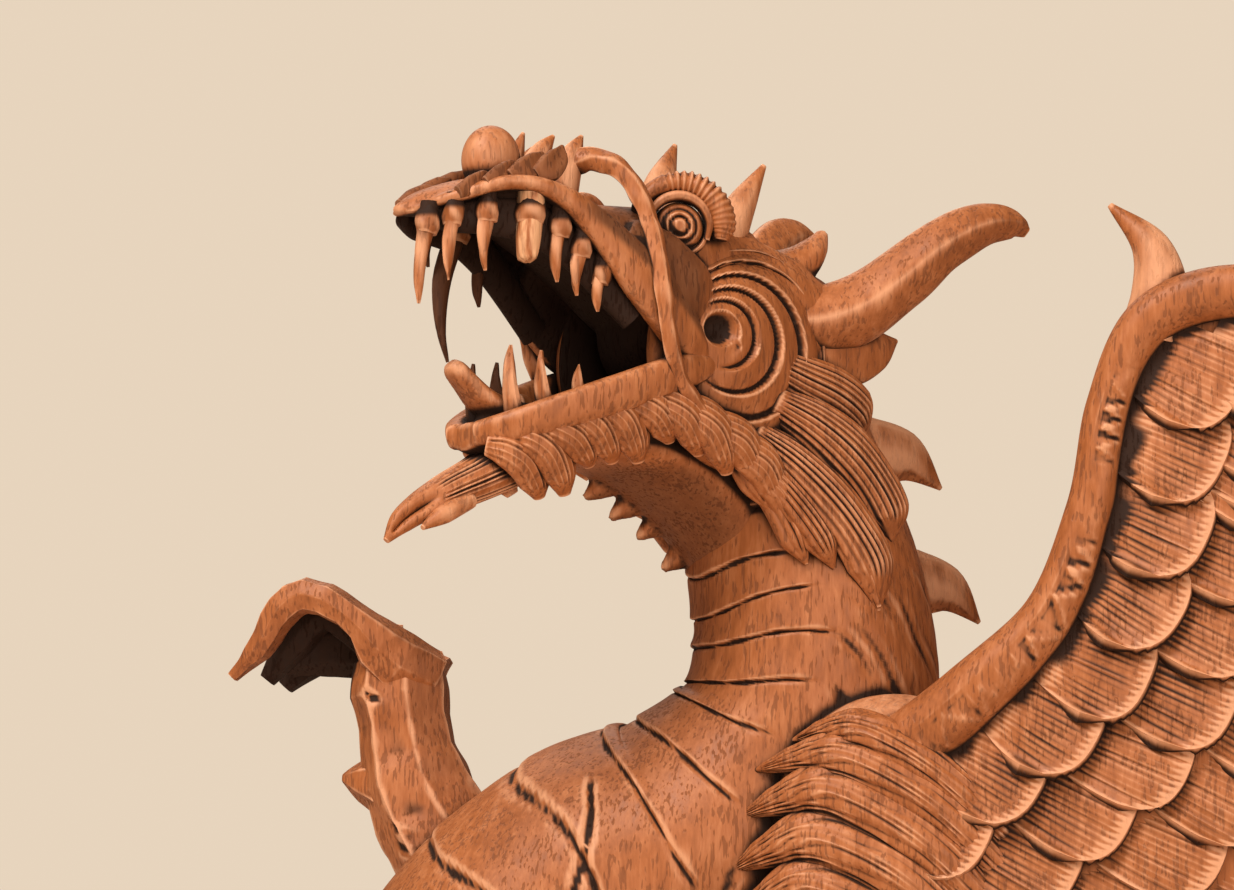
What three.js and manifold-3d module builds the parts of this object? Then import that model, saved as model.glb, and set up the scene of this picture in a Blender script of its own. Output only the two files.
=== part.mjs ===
// A winged naga carved from one block of wood: head turned to its left with the jaws wide open,
// a rearing neck with belly plates, a raised right claw, two feathered wings, and a serpent body
// that comes down in one coil on a low oval base of the same block.
// Millimetres, +Z up. The body faces -X, its left side is -Y, and the origin is the middle of the underside.
import * as THREE from "three";
import { mergeVertices } from "three/addons/utils/BufferGeometryUtils.js";
import Module from "manifold-3d";

const wasm = await Module();
wasm.setup();

// Driving dimensions
const figureHeight = 346; // underside of the base to the tip of the far brow horn
const drawnHeight = 346; // the height at which the pose below was drawn
const baseThickness = 14;
const baseHalfLength = 110;
const baseHalfWidth = 94;
const baseEdgeRound = 3;
const headYaw = 47; // degrees that the head is turned to its left
const beltCount = 18; // belly plates from the throat to the coil
const beltFirst = 0.058; // where the first and last plates end, as shares of the body's length
const beltLast = 0.468;
const beltStep = 1.4; // how far each plate's lower edge stands proud
const bodySides = 11;
const tailRows = 14;
const spineCount = 9; // hooked fins down the back, from the nape to the tail
const wingThickness = 5;
const wingFlare = 0.09; // how far out each millimetre back takes the wing
const featherStep = 1.5; // how far each row of feathers stands out over the next one back
const toothRadius = 2.3;

const k = figureHeight / drawnHeight;
const woodColour = new THREE.Color(0.42, 0.2, 0.1);

// A closed three.js geometry as a solid that can be joined and cut
function solid(geometry) {
  const bare = geometry.clone();
  bare.deleteAttribute("normal");
  bare.deleteAttribute("uv");
  const merged = mergeVertices(bare, 1e-4);
  return new wasm.Manifold(
    new wasm.Mesh({
      numProp: 3,
      vertProperties: merged.attributes.position.array,
      triVerts: new Uint32Array(merged.index.array),
    }),
  );
}

const joined = (solids) => wasm.Manifold.union(solids);
const point = ([x, y, z]) => new THREE.Vector3(x * k, y * k, z * k);
const bothSides = (make) => [1, -1].map(make);
const line = (points) => new THREE.CatmullRomCurve3(points.map((p) => new THREE.Vector3(...p)));

// A form drawn out along a smooth line. sizes holds [half width, half depth] at each point,
// and facing is the direction of the depth, either one for the whole form or one at each point.
function drawnOut(points, sizes, { facing = [0, 0, 1], sides = 6, steps = 4 } = {}) {
  const path = new THREE.CatmullRomCurve3(points.map(point));
  const size = line(sizes.map((s) => (Array.isArray(s) ? [s[0] * k, s[1] * k, 0] : [s * k, s * k, 0])));
  const depthAt = Array.isArray(facing[0]) ? line(facing) : null;
  const constantDepth = depthAt ? null : new THREE.Vector3(...facing);
  const form = new THREE.CylinderGeometry(1, 1, 1, sides, steps);
  const position = form.attributes.position;
  for (let i = 0; i < position.count; i++) {
    const t = THREE.MathUtils.clamp(0.5 - position.getY(i), 0, 1);
    const along = path.getTangent(t);
    const depth = depthAt ? depthAt.getPoint(t) : constantDepth;
    const across = new THREE.Vector3().crossVectors(depth, along).normalize();
    const deep = new THREE.Vector3().crossVectors(along, across);
    const { x: halfWidth, y: halfDepth } = size.getPoint(t);
    const at = path
      .getPoint(t)
      .addScaledVector(across, position.getX(i) * Math.max(halfWidth, 0.2))
      .addScaledVector(deep, position.getZ(i) * Math.max(halfDepth, 0.2));
    position.setXYZ(i, at.x, at.y, at.z);
  }
  return solid(form);
}

// A rounded lump with its own half lengths, turned about the vertical by yaw degrees and tipped by pitch
function lump(centre, halves, { sides = 10, rings = 7, pitch = 0 } = {}) {
  const form = new THREE.SphereGeometry(1, sides, rings);
  form.rotateX(Math.PI / 2).scale(halves[0] * k, halves[1] * k, halves[2] * k);
  form.rotateY(THREE.MathUtils.degToRad(pitch));
  const at = point(centre);
  form.translate(at.x, at.y, at.z);
  return solid(form);
}

// The head's own frame: x forward along the snout, y to the head's left, z up
const headAt = [-3, -6, 305];
const yaw = THREE.MathUtils.degToRad(headYaw);
const headFrame = new THREE.Matrix4()
  .makeBasis(
    new THREE.Vector3(-Math.cos(yaw), -Math.sin(yaw), 0),
    new THREE.Vector3(Math.sin(yaw), -Math.cos(yaw), 0),
    new THREE.Vector3(0, 0, 1),
  )
  .setPosition(point(headAt));
const mirrored = (points, side) => points.map(([x, y, z]) => [x, y * side, z]);

// Skull, snout and the thick rim of the upper lip, which carries the teeth
function upperHead() {
  const skull = lump([5, 0, -7], [36, 26, 26], { sides: 12, rings: 7 });
  const snout = drawnOut(
    [[14, 0, 0], [30, 0, 6], [45, 0, 13], [58, 0, 19], [70, 0, 23], [82, 0, 22.5], [94, 0, 17.5], [102, 0, 13.5]],
    [[24, 18], [25, 19], [24, 12.5], [22, 7.5], [19, 6.5], [14, 5.4], [8, 3.6], [2, 1.4]],
    { sides: 8, steps: 7 },
  );
  const lips = bothSides((side) =>
    drawnOut(
      mirrored([[30, 24, -22], [37, 25, -14.5], [48, 24.5, -2.5], [58.5, 23, 9.5], [70, 20.5, 17], [80.5, 17, 19], [92, 10.5, 15.5], [102, 2, 12.5]], side),
      [[4, 4], [5.4, 4.6], [5.4, 5], [5, 5], [4.6, 5], [4.2, 4.8], [3.6, 4], [1.2, 1.4]],
      { sides: 4, steps: 7 },
    ),
  );
  return joined([skull, snout, ...lips]);
}

// Teeth as [base, tip, girth], front to back. The left long fang is broken off to a stump.
const brokenFang = 1.35;
const rootDepth = 4; // how far a tooth's root runs into the jaw beyond its base
const upperTeeth = {
  left: [
    [[97.5, 7, 11], [100.5, 8, -9], 1],
    [[92.6, 10.5, 13], [94.5, 11.5, -3.5], 0.9],
    [[85.5, 14, 14], [86.5, 14.5, -1], 0.95],
    [[75.5, 17, 14], [76.8, 17.5, 1.2], brokenFang],
    [[68.7, 19, 11], [69.8, 19.5, -3], 1],
    [[63.5, 20.5, 6.5], [65.3, 21, -6], 0.95],
    [[58.5, 21.5, 0.5], [60, 22, -9.5], 0.85],
  ],
  right: [
    [[92.6, -9.5, 13], [94, -10, -1], 0.8],
    [[76, -14.5, 13], [79.5, -12.5, -19.5], 1.5],
    [[66, -18, 9], [67.5, -17.5, -7.5], 1],
    [[59, -20, 2], [60, -19.5, -10], 0.9],
  ],
};
const lowerTeeth = [
  [[74, 8.5, -35], [75.3, 8.5, -17], 1.2],
  [[67, 11, -32], [68, 10.5, -18], 1],
  [[66, -10, -32], [67, -10, -19], 1],
];

function tooth([base, tip, girth]) {
  const root = [base[0], base[1], base[2] + rootDepth * Math.sign(base[2] - tip[2])];
  const middle = base.map((v, i) => (v + tip[i]) / 2 + (i === 0 ? 0.8 : 0));
  const r = toothRadius * girth;
  return drawnOut([root, middle, tip], [r * 1.15, r, girth === brokenFang ? r * 0.75 : 0.35], {
    facing: [1, 0, 0],
    sides: 4,
    steps: girth > 1 ? 2 : 1,
  });
}

// Nose knob, the pointed nostril flares and the leaf scales along the lip
function nose() {
  const knob = lump([75, 0, 29.3], [7.2, 6.6, 6.8], { sides: 7, rings: 5 });
  const flares = bothSides((side) =>
    drawnOut(mirrored([[68, 5.5, 26], [62, 6.5, side > 0 ? 34 : 36.5]], side), [[2, 4], [0.4, 0.5]], {
      facing: [1, 0, 0],
      sides: 4,
      steps: 1,
    }),
  );
  const leaves = bothSides((side) =>
    [[88, 11.5, 21], [75, 16, 23.5]].slice(side > 0 ? 0 : 1).map(([x, y, z]) =>
      drawnOut([[x + 5, y * side * 0.85, z - 1.5], [x, y * side, z + 1], [x - 5.5, y * side * 1.1, z + 4]], [[2.4, 2], [4.4, 2.8], [0.5, 0.5]], {
        facing: [0, side, 0.4],
        sides: 3,
        steps: 2,
      }),
    ),
  ).flat();
  return joined([knob, ...flares, ...leaves]);
}

// Eyes under rolled brows, a small horn behind each brow, and leaf-shaped ears
function eyesBrowsEars() {
  return joined(
    bothSides((side) => [
      lump([35.5, 18.5 * side, 14], [6.2, 5.4, 6.2], { sides: 7, rings: 4 }),
      drawnOut(
        mirrored([[44, 18.5, 17], [38, 19, 21.5], [30, 19, 22.5], [23, 20, 19], [19, 20.5, 12], [21, 20, 6]], side),
        [[2, 3], [5, 5], [6.4, 6], [6, 5.5], [4.4, 4.4], [1.6, 1.6]],
        { facing: [0, 1, 0], sides: 5, steps: 5 },
      ),
      drawnOut(
        side > 0 ? [[19, 16, 13], [13, 16.5, 21], [7.3, 17, 30.5]] : [[17, -14, 17], [13.5, -16, 29], [9.4, -17, 41]],
        [[4.5, 5.5], [3.6, 4], [0.6, 0.7]],
        { sides: 5, steps: 2 },
      ),
      drawnOut(mirrored([[-2, 21, -16], [-15, 24, -15], [-29.5, 22, -11]], side), [[7, 3], [8, 4], [0.8, 0.8]], {
        facing: [0, side, 0],
        sides: 3,
        steps: 2,
      }),
    ]).flat(),
  );
}

// Crescents nested behind the corner of the jaw, each larger and further back, all open to the front
const crescents = [
  { centre: [27, -13], radius: 9, out: 25.5 },
  { centre: [21.5, -15.5], radius: 14.5, out: 25.5 },
  { centre: [16, -18], radius: 20, out: 23.5 },
];

function cheeks() {
  return joined(
    bothSides((side) =>
      crescents.slice(side > 0 ? 0 : 1).map(({ centre: [x, z], radius, out }) =>
        drawnOut(
          [75, 125, 175, 225, 275].map((turn) => [
            x + radius * Math.cos(THREE.MathUtils.degToRad(turn)),
            (out - (turn === 175 ? 2 : 0)) * side,
            z + radius * 1.05 * Math.sin(THREE.MathUtils.degToRad(turn)),
          ]),
          [[0.8, 0.8], [3.2, 4.5], [3.6, 4.5], [3.2, 4.5], [0.8, 0.8]],
          { facing: [0, 1, 0], sides: 4, steps: 5 },
        ),
      ),
    ).flat(),
  );
}

// The turned neck lies to the head's left, so what runs down it on the right side is moved over with it
const neckShift = (z) => 12 * THREE.MathUtils.clamp((-z - 25) / 40, 0, 1);
const ontoNeck = (points, side) => points.map(([x, y, z]) => [x, side > 0 ? y : neckShift(z) - y, z]);

// A ribbon-like whisker springs from the nose, stands free over the bridge, then runs down the cheek and neck
function whiskers() {
  const route = [
    [63, 9, 26.5], [54.5, 15, 26.5], [49.5, 20.5, 21], [47, 25, 13], [46.5, 28, 3], [46, 29.5, -7], [44, 29, -16],
    [40, 28, -25], [34, 28, -32], [25, 26.5, -38.5], [12, 26, -44.5], [4.5, 29.5, -51], [-3, 33, -59], [-9, 35.5, -69],
  ];
  const sizes = route.map((_, i) => [3.4 - 0.14 * i, 3]);
  return joined(bothSides((side) => drawnOut(ontoNeck(route, side), sizes, { facing: [0, side, 0], sides: 3, steps: 10 })));
}

function horns() {
  return joined(
    bothSides((side) => {
      const rise = side > 0 ? 0 : 6;
      return drawnOut(
        mirrored([[2, 14, -7], [-5, 19, -7.5], [-14, 25, -4.5], [-24, 31, 3.5 + rise / 2], [-33, 36, 12 + rise], [-43, 40, 17.5 + rise], [-52, 42, 17.5 + rise]], side),
        [[9, 8], [9, 9.5], [8, 8.5], [7, 7.6], [6, 6.6], [5, 5.4], [1.6, 1.8]],
        { sides: 5, steps: 6 },
      );
    }),
  );
}

// Lower jaw with its lip and the curled front of the gum, the throat below it, and the pointed chin beard
function lowerJaw() {
  const jaw = drawnOut(
    [[18, 0, -26], [32, 0, -30], [46, 0, -33], [60, 0, -36], [74, 0, -38.5], [84, 0, -40]],
    [[24, 10], [24.5, 9], [22.5, 7.5], [19, 6.5], [12.5, 5.5], [4, 3]],
    { sides: 7, steps: 4 },
  );
  const throat = drawnOut([[46, 0, -38], [28, 0, -44], [10, 0, -54], [-8, 0, -68]], [[18, 7], [21, 12], [21, 14], [20, 16]], {
    sides: 6,
    steps: 3,
  });
  const lips = bothSides((side) =>
    drawnOut(
      mirrored([[30, 26, -20], [38, 26, -21], [55, 23.5, -27.5], [70, 18, -33], [81, 10, -37.5], [86, 2, -38.5]], side),
      [[2.5, 3], [3, 4], [3, 4.4], [3, 4.4], [3, 4], [2.4, 3.2]],
      { sides: 4, steps: 6 },
    ),
  );
  const curl = drawnOut([[60, 0, -33], [72, 0, -33], [80, 0, -30], [86, 0, -22.5]], [[10, 4], [8, 4], [5.5, 4], [3, 2.8]], { sides: 5, steps: 2 });
  const beard = drawnOut(
    [[66, 0, -41], [78, 0, -47], [90, 0, -52.5], [98, 0, -57.5], [104, 0, -62]],
    [[11, 5], [9, 6], [6, 4.6], [3.4, 3], [0.8, 0.8]],
    { sides: 5, steps: 4 },
  );
  return joined([jaw, throat, ...lips, curl, beard]);
}

// Tufts along the lower jaw, each a leaf that points back and down, and plainer on the right side
function jawTufts() {
  const roots = line([[80, 7, -41.5], [68, 15, -35], [56.5, 19.5, -31], [44, 23, -31.5], [31, 25, -37], [17, 25, -45], [6, 24, -53]]);
  return joined(
    bothSides((side) => {
      const count = side > 0 ? 7 : 4;
      return Array.from({ length: count }, (_, i) => {
        const { x, y, z } = roots.getPoint(i / (count - 1));
        return drawnOut(
          [[x + 3, y * side, z + 2], [x - 5, (y + 0.8) * side, z - 4], [x - 14, (y - 1) * side, z - 11.5]],
          [[3.4, 2.4], [5.6, 3.4], [0.8, 0.8]],
          { facing: [0, side, 0], sides: 3, steps: 2 },
        );
      });
    }).flat(),
  );
}

// Locks of the mane behind the left cheek, sweeping down the neck: route, half width and half depth
const maneLocks = [
  [[[10, 24, -20], [-6, 26.5, -27], [-18, 24.5, -34]], 7, 3],
  [[[8, 26, -31], [-3, 29.5, -38], [-13, 30.5, -46], [-19, 32, -60]], 7, 3.4],
  [[[16, 23, -36], [4, 28, -46], [-5, 32, -55], [-11, 34, -65], [-12, 35.5, -77]], 6.5, 3.4],
  [[[12, 23, -50], [7.5, 26.5, -58], [4.5, 29, -67]], 4.5, 3],
];

function mane() {
  return joined(
    bothSides((side) =>
      maneLocks.slice(side > 0 ? 0 : 1, side > 0 ? 4 : 3).map(([route, half, deep]) => {
        const last = route.length - 1;
        const sizes = route.map((_, i) => (i === last ? [0.8, 0.8] : [i ? half : half * 0.7, deep + 0.6]));
        return drawnOut(ontoNeck(route, side), sizes, { facing: [0, side, 0], sides: 3, steps: last });
      }),
    ).flat(),
  );
}

function head() {
  const solids = [upperHead(), nose(), eyesBrowsEars(), cheeks(), horns(), lowerJaw(), jawTufts(), mane(), whiskers()];
  const teeth = [...upperTeeth.left, ...upperTeeth.right, ...lowerTeeth].map(tooth);
  return joined([...solids, ...teeth]).transform(headFrame.elements);
}

// The serpent body from the nape to the tip of the tail: place, [half width, half depth], and the way its belly faces
const body = [
  [[-4, -10, 290], [19, 19], [-0.75, -0.66, 0]],
  [[5, -5, 264], [24, 24], [-0.8, -0.6, 0]],
  [[9.5, -1, 241], [28, 28], [-0.82, -0.57, 0]],
  [[12.5, 0, 221], [29, 30], [-0.85, -0.5, 0.05]],
  [[10, 0, 198], [31, 32.5], [-0.85, -0.42, 0.25]],
  [[-9, 0, 172], [38, 38], [-0.75, -0.38, 0.5]],
  [[-40, 0, 152], [44, 44], [-0.72, -0.34, 0.5]],
  [[-61, 0, 127], [47, 46], [-0.88, -0.3, 0.15]],
  [[-65, 0, 101], [45, 44], [-0.95, -0.2, -0.15]],
  [[-49, 0, 76], [43, 40], [-0.7, -0.1, -0.65]],
  [[-14, -3, 57], [39, 36], [-0.2, 0, -1]],
  [[30, -12, 47], [34, 33], [0, 0, -1]],
  [[68, 4, 39], [28, 26], [0, 0, -1]],
  [[80, 40, 33], [23, 20], [0, 0, -1]],
  [[48, 68, 30], [19.5, 17], [0, 0, -1]],
  [[-8, 76, 28], [16.5, 15], [0, 0, -1]],
  [[-62, 60, 26], [14, 13], [0, 0, -1]],
  [[-93, 22, 24], [11.5, 10.5], [0, 0, -1]],
  [[-96, -22, 22.5], [9.5, 9.5], [0, 0, -1]],
  [[-68, -62, 21], [8.5, 8], [0, 0, -1]],
  [[-18, -78, 21], [7, 7], [0, 0, -1]],
  [[32, -74, 24], [5.5, 5.5], [0.3, 0, -1]],
  [[58, -62, 38], [4, 4], [1, 0, -0.3]],
  [[60, -54, 56], [1.2, 1.2], [1, 0, 0]],
];
const bodyPath = line(body.map(([at]) => at));
const bodySize = line(body.map(([, size]) => [...size, 0]));
const bodyBelly = line(body.map(([, , belly]) => belly));

// Unit directions of the body at t: along it, to its side, and towards its belly
function bodyAxes(t) {
  const along = bodyPath.getTangent(t);
  const side = new THREE.Vector3().crossVectors(bodyBelly.getPoint(t), along).normalize();
  const belly = new THREE.Vector3().crossVectors(along, side);
  return { along, side, belly };
}

// The body in one form. Down the throat and belly it is stepped: each plate's lower edge overlaps the next plate.
function bodyForm() {
  const rows = [{ t: 0, proud: 0 }];
  for (let i = 0; i < beltCount; i++) {
    const t = beltFirst + ((beltLast - beltFirst) * i) / (beltCount - 1);
    rows.push({ t: t - 0.0015, proud: beltStep }, { t: t + 0.0015, proud: 0 });
  }
  for (let i = 1; i <= tailRows; i++) {
    rows.push({ t: beltLast + ((1 - beltLast) * i) / tailRows, proud: 0 });
  }
  const form = new THREE.CylinderGeometry(1, 1, 1, bodySides, rows.length - 1);
  const position = form.attributes.position;
  for (let i = 0; i < position.count; i++) {
    const { t, proud } = rows[Math.round((0.5 - position.getY(i)) * (rows.length - 1))];
    const { side, belly } = bodyAxes(t);
    const { x: half, y: deep } = bodySize.getPoint(t);
    const [across, towards] = [position.getX(i), position.getZ(i)];
    const swell = towards > 0.4 ? proud : 0;
    const at = bodyPath
      .getPoint(t)
      .addScaledVector(side, across * (half + swell))
      .addScaledVector(belly, towards * (deep + swell))
      .multiplyScalar(k);
    position.setXYZ(i, at.x, at.y, at.z);
  }
  return solid(form);
}

// Hooked fins down the back, largest on the neck
function spines() {
  return joined(
    Array.from({ length: spineCount }, (_, i) => {
      const share = i / (spineCount - 1);
      const t = 0.05 + 0.054 * i + 0.005 * i * i;
      const { along, belly } = bodyAxes(t);
      const { y: deep } = bodySize.getPoint(t);
      const tall = THREE.MathUtils.lerp(21, 8, share);
      const root = bodyPath.getPoint(t).addScaledVector(belly, -deep + 4);
      const crown = root.clone().addScaledVector(belly, -tall * 0.66).addScaledVector(along, tall * 0.2);
      const tip = root.clone().addScaledVector(belly, -tall * 1.02).addScaledVector(along, tall * 0.66);
      return drawnOut([root.toArray(), crown.toArray(), tip.toArray()], [[3.4, tall * 0.5], [2.8, tall * 0.34], [0.5, 0.6]], {
        facing: along.toArray(),
        sides: 4,
        steps: 2,
      });
    }),
  );
}

// Shoulders with flame locks that point forward, from which the arms and wings spring
function shoulders() {
  const locks = [
    [[50, 192], [32, 200], [11, 200]],
    [[58, 179], [34, 189], [6, 188]],
    [[57, 164], [33, 175], [3, 176]],
  ];
  return joined(
    bothSides((side) => [
      lump([36, 26 * side, 176], [31, 18, 31], { sides: 7, rings: 5 }),
      ...locks.slice(side > 0 ? 0 : 1).map(([root, middle, tip]) =>
        drawnOut(
          [[root[0], -36 * side, root[1]], [middle[0], -42 * side, middle[1]], [tip[0], -34 * side, tip[1]]],
          [[6, 4], [9, 4.6], [1.2, 1]],
          { facing: [0, -side, 0], sides: 3, steps: 2 },
        ),
      ),
    ]).flat(),
  );
}

// The raised right arm: a pointed elbow, and a hand hooked forward with the claws closed over the palm
function rightArm() {
  const arm = drawnOut(
    [[-62, 16, 140], [-78, 20, 158], [-90, 22, 172], [-98, 23, 187], [-99, 23, 202], [-97, 24, 217]],
    [[17, 19], [15, 15], [14, 14], [13.5, 13.5], [12.5, 10.5], [12.5, 9.5]],
    { facing: [1, 0, 0], sides: 7, steps: 5 },
  );
  const elbow = drawnOut([[-94, 22, 183], [-114, 22, 187.5]], [[13, 13], [1.4, 1.4]], { sides: 5, steps: 1 });
  const palm = drawnOut([[-93, 24, 213], [-103, 24, 217], [-113, 24, 216]], [[13, 11], [12, 10], [9, 5]], { sides: 5, steps: 2 });
  const claws = [13, 23.5, 34].map((y, i) =>
    drawnOut(
      [[-92, y, 219], [-106, y, 227], [-120.5, y, 233.5 - i], [-129.5, y, 226 - i], [-139.5 + 2 * i, y, 212.5 + i]],
      [[5.8, 6.6], [5.8, 6], [5.6, 4.8], [4.8, 4.4], [2, 2.2]],
      { facing: [0.5, 0, 0.86], sides: 5, steps: 4 },
    ),
  );
  return joined([arm, elbow, palm, ...claws]);
}

// The lowered left arm lies along the breast, its claws spread over a rock
function leftArm() {
  const arm = drawnOut(
    [[-6, -32, 146], [-26, -44, 124], [-50, -48, 102], [-64, -48, 82], [-68, -49, 60]],
    [[17, 17], [15, 15], [13, 13], [11.5, 11], [11, 10]],
    { facing: [1, 0, 0], sides: 7, steps: 4 },
  );
  const claws = [-64, -48, -32].map((y, i) =>
    drawnOut(
      [[-62, -48, 56], [-78, (y - 48) / 2, 54], [-90, y, 42], [-94 + 2 * Math.abs(i - 1), y, 26]],
      [[6, 6], [5.5, 5], [4.6, 4.6], [1.6, 1.6]],
      { facing: [1, 0, 0], sides: 5, steps: 3 },
    ),
  );
  return joined([arm, ...claws]);
}

// Leading edge and trailing outline of the left wing, as [x, 0, z], from the root to the wing tip
const wingEdge = line([
  [40, 0, 190], [55, 0, 205], [71, 0, 219], [82, 0, 241], [87.5, 0, 262],
  [92, 0, 283], [104, 0, 296], [124, 0, 298], [146, 0, 288], [160, 0, 272],
]);
const wingTips = line([
  [66, 0, 120], [96, 0, 112], [124, 0, 120], [146, 0, 138], [162, 0, 162],
  [172, 0, 188], [178, 0, 214], [180, 0, 236], [178, 0, 254], [170, 0, 268],
]);
const wingOut = (x) => 38 + (x - 40) * wingFlare;

// Rows of feathers, each a plate with a scalloped edge that lies on the row behind it: how far the row runs
// along the wing, where it ends between the leading edge and the trailing outline, and how deep its scallops are
const featherRows = [
  { run: 1, end: 0.98, count: 10, scallop: 0.13 },
  { run: 1, end: 0.8, count: 10, scallop: 0.1 },
  { run: 0.97, end: 0.62, count: 10, scallop: 0.1 },
  { run: 0.93, end: 0.44, count: 9, scallop: 0.1 },
  { run: 0.88, end: 0.27, count: 9, scallop: 0.09 },
];

function featherRow({ run, end, count, scallop }, row) {
  const between = (t, share) => wingEdge.getPoint(t * run).lerp(wingTips.getPoint(t * run), share);
  const offset = row % 2 ? 0.5 : 0;
  const rim = Array.from({ length: 9 }, (_, i) => between(1 - i / 8, 0));
  for (let i = 0; i < count; i++) {
    for (const [step, reach] of [[0.04, -1], [0.36, 0.05], [0.8, 0]]) {
      rim.push(between((i + step + offset) / (count + 0.5), end + scallop * reach));
    }
  }
  const outline = new THREE.Shape(rim.map(({ x, z }) => new THREE.Vector2(x, z)));
  const thickness = row ? featherStep + 1 : wingThickness;
  const plate = new THREE.ExtrudeGeometry(outline, { depth: thickness, bevelEnabled: false });
  plate.rotateX(Math.PI / 2);
  const position = plate.attributes.position;
  const outerFace = wingThickness / 2 + row * featherStep;
  for (let i = 0; i < position.count; i++) {
    position.setY(i, position.getY(i) + thickness - outerFace - wingOut(position.getX(i)));
  }
  return solid(plate.scale(k, k, k));
}

function wing(side) {
  const boneEdge = wingEdge.getPoints(8).slice(1).map(({ x, z }) => [x, -wingOut(x) - 1.5, z]);
  const bone = drawnOut(
    [[24, -28, 178], [42, -36, 193], ...boneEdge],
    [[11, 12], [9.5, 10], [8, 8.5], [6.6, 7.5], [5.6, 7], [5.4, 6.6], [6.2, 6.8], [6.4, 6.8], [5, 6], [2.6, 4.5]],
    { facing: [0, 1, 0], sides: 6, steps: 9 },
  );
  const claw = drawnOut(
    [[99, -43, 290], [101, -42.5, 302], [97.5, -42, 312], [89.5, -41, 320.5]],
    [[5.4, 7.5], [4.4, 6.6], [3, 4.4], [0.7, 0.8]],
    { facing: [1, 0, 0], sides: 5, steps: 3 },
  );
  const left = joined([bone, claw, ...featherRows.map(featherRow)]);
  return side > 0 ? left : left.mirror([0, 1, 0]);
}

// A low oval slab with a rounded edge, the rough mound that fills the coil, and the rock under the left claws
function base() {
  const oval = new THREE.Shape();
  oval.absellipse(0, 0, baseHalfLength - baseEdgeRound, baseHalfWidth - baseEdgeRound, 0, 2 * Math.PI);
  const slab = new THREE.ExtrudeGeometry(oval, {
    depth: baseThickness - baseEdgeRound,
    bevelSize: baseEdgeRound,
    bevelThickness: baseEdgeRound,
    bevelSegments: 1,
    curveSegments: 11,
  });
  const filling = new THREE.CylinderGeometry(1, 1, 1, 12, 1);
  filling.rotateX(Math.PI / 2).scale(74, 62, 20).translate(-4, 6, 18);
  const belowFloor = new THREE.BoxGeometry(4 * baseHalfLength, 4 * baseHalfWidth, 100);
  belowFloor.translate(0, 0, -50);
  const [whole, mound, floor] = [slab, filling, belowFloor].map((form) => solid(form.scale(k, k, k)));
  const rock = lump([-58, -44, 20], [33, 26, 32], { sides: 8, rings: 5 });
  const crown = lump([-2, 6, 26], [62, 50, 24], { sides: 9, rings: 5 });
  return joined([whole, mound, crown, rock]).subtract(floor);
}

const statue = joined([
  base(),
  bodyForm(),
  spines(),
  shoulders(),
  rightArm(),
  leftArm(),
  wing(1),
  wing(-1),
  head(),
]);

const carved = statue.getMesh();
const geometry = new THREE.BufferGeometry()
  .setAttribute("position", new THREE.BufferAttribute(carved.vertProperties, 3))
  .setIndex(new THREE.BufferAttribute(carved.triVerts, 1));
const naga = new THREE.Mesh(geometry, new THREE.MeshStandardMaterial({ color: woodColour, roughness: 0.5, metalness: 0 }));
naga.name = "naga_statue";

const group = new THREE.Group();
group.add(naga);
export default group;
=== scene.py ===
import math

import bpy
import numpy as np
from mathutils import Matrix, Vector
from mathutils.bvhtree import BVHTree


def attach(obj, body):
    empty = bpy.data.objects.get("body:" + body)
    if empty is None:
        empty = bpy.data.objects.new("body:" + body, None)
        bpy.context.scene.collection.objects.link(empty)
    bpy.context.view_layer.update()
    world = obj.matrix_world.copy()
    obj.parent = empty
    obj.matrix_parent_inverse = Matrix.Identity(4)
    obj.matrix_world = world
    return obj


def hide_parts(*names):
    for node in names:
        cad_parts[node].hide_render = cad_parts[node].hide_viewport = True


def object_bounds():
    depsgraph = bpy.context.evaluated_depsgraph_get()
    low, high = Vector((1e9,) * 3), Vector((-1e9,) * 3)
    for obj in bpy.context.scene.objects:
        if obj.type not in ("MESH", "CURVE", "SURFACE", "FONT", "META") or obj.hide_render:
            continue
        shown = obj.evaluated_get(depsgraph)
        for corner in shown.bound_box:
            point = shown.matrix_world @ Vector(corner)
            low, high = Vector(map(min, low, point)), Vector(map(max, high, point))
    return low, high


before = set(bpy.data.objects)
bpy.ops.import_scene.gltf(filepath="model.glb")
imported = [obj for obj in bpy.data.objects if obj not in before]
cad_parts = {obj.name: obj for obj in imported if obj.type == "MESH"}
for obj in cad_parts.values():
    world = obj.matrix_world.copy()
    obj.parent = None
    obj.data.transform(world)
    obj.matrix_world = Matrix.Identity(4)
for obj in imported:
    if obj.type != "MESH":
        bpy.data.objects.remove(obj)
cad_low, cad_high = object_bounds()

# Camera and studio. The camera stands a little below the head, 12 degrees round from the left side,
# so that the open jaws stand against the pale backdrop as they do in the photograph.
MM = 0.001
sensor_width_mm = 36
camera_distance = 950 * MM
frame_width_there = 308.5 * MM
camera_azimuth, camera_elevation = math.radians(12), math.radians(-5)
camera_target = Vector((-37, 0, 270)) * MM
camera_back = Vector((
    math.sin(camera_azimuth) * math.cos(camera_elevation),
    -math.cos(camera_azimuth) * math.cos(camera_elevation),
    math.sin(camera_elevation),
))
camera_data = bpy.data.cameras.new("camera")
camera_data.sensor_width = sensor_width_mm
camera_data.lens = sensor_width_mm * camera_distance / frame_width_there
camera_data.clip_start, camera_data.clip_end = 0.01, 50
camera = bpy.data.objects.new("camera", camera_data)
camera.location = camera_target + camera_back * camera_distance
camera.rotation_euler = (-camera_back).to_track_quat("-Z", "Y").to_euler()
bpy.context.scene.collection.objects.link(camera)
bpy.context.scene.camera = camera
bpy.context.scene.view_settings.view_transform = "Standard"

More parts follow.
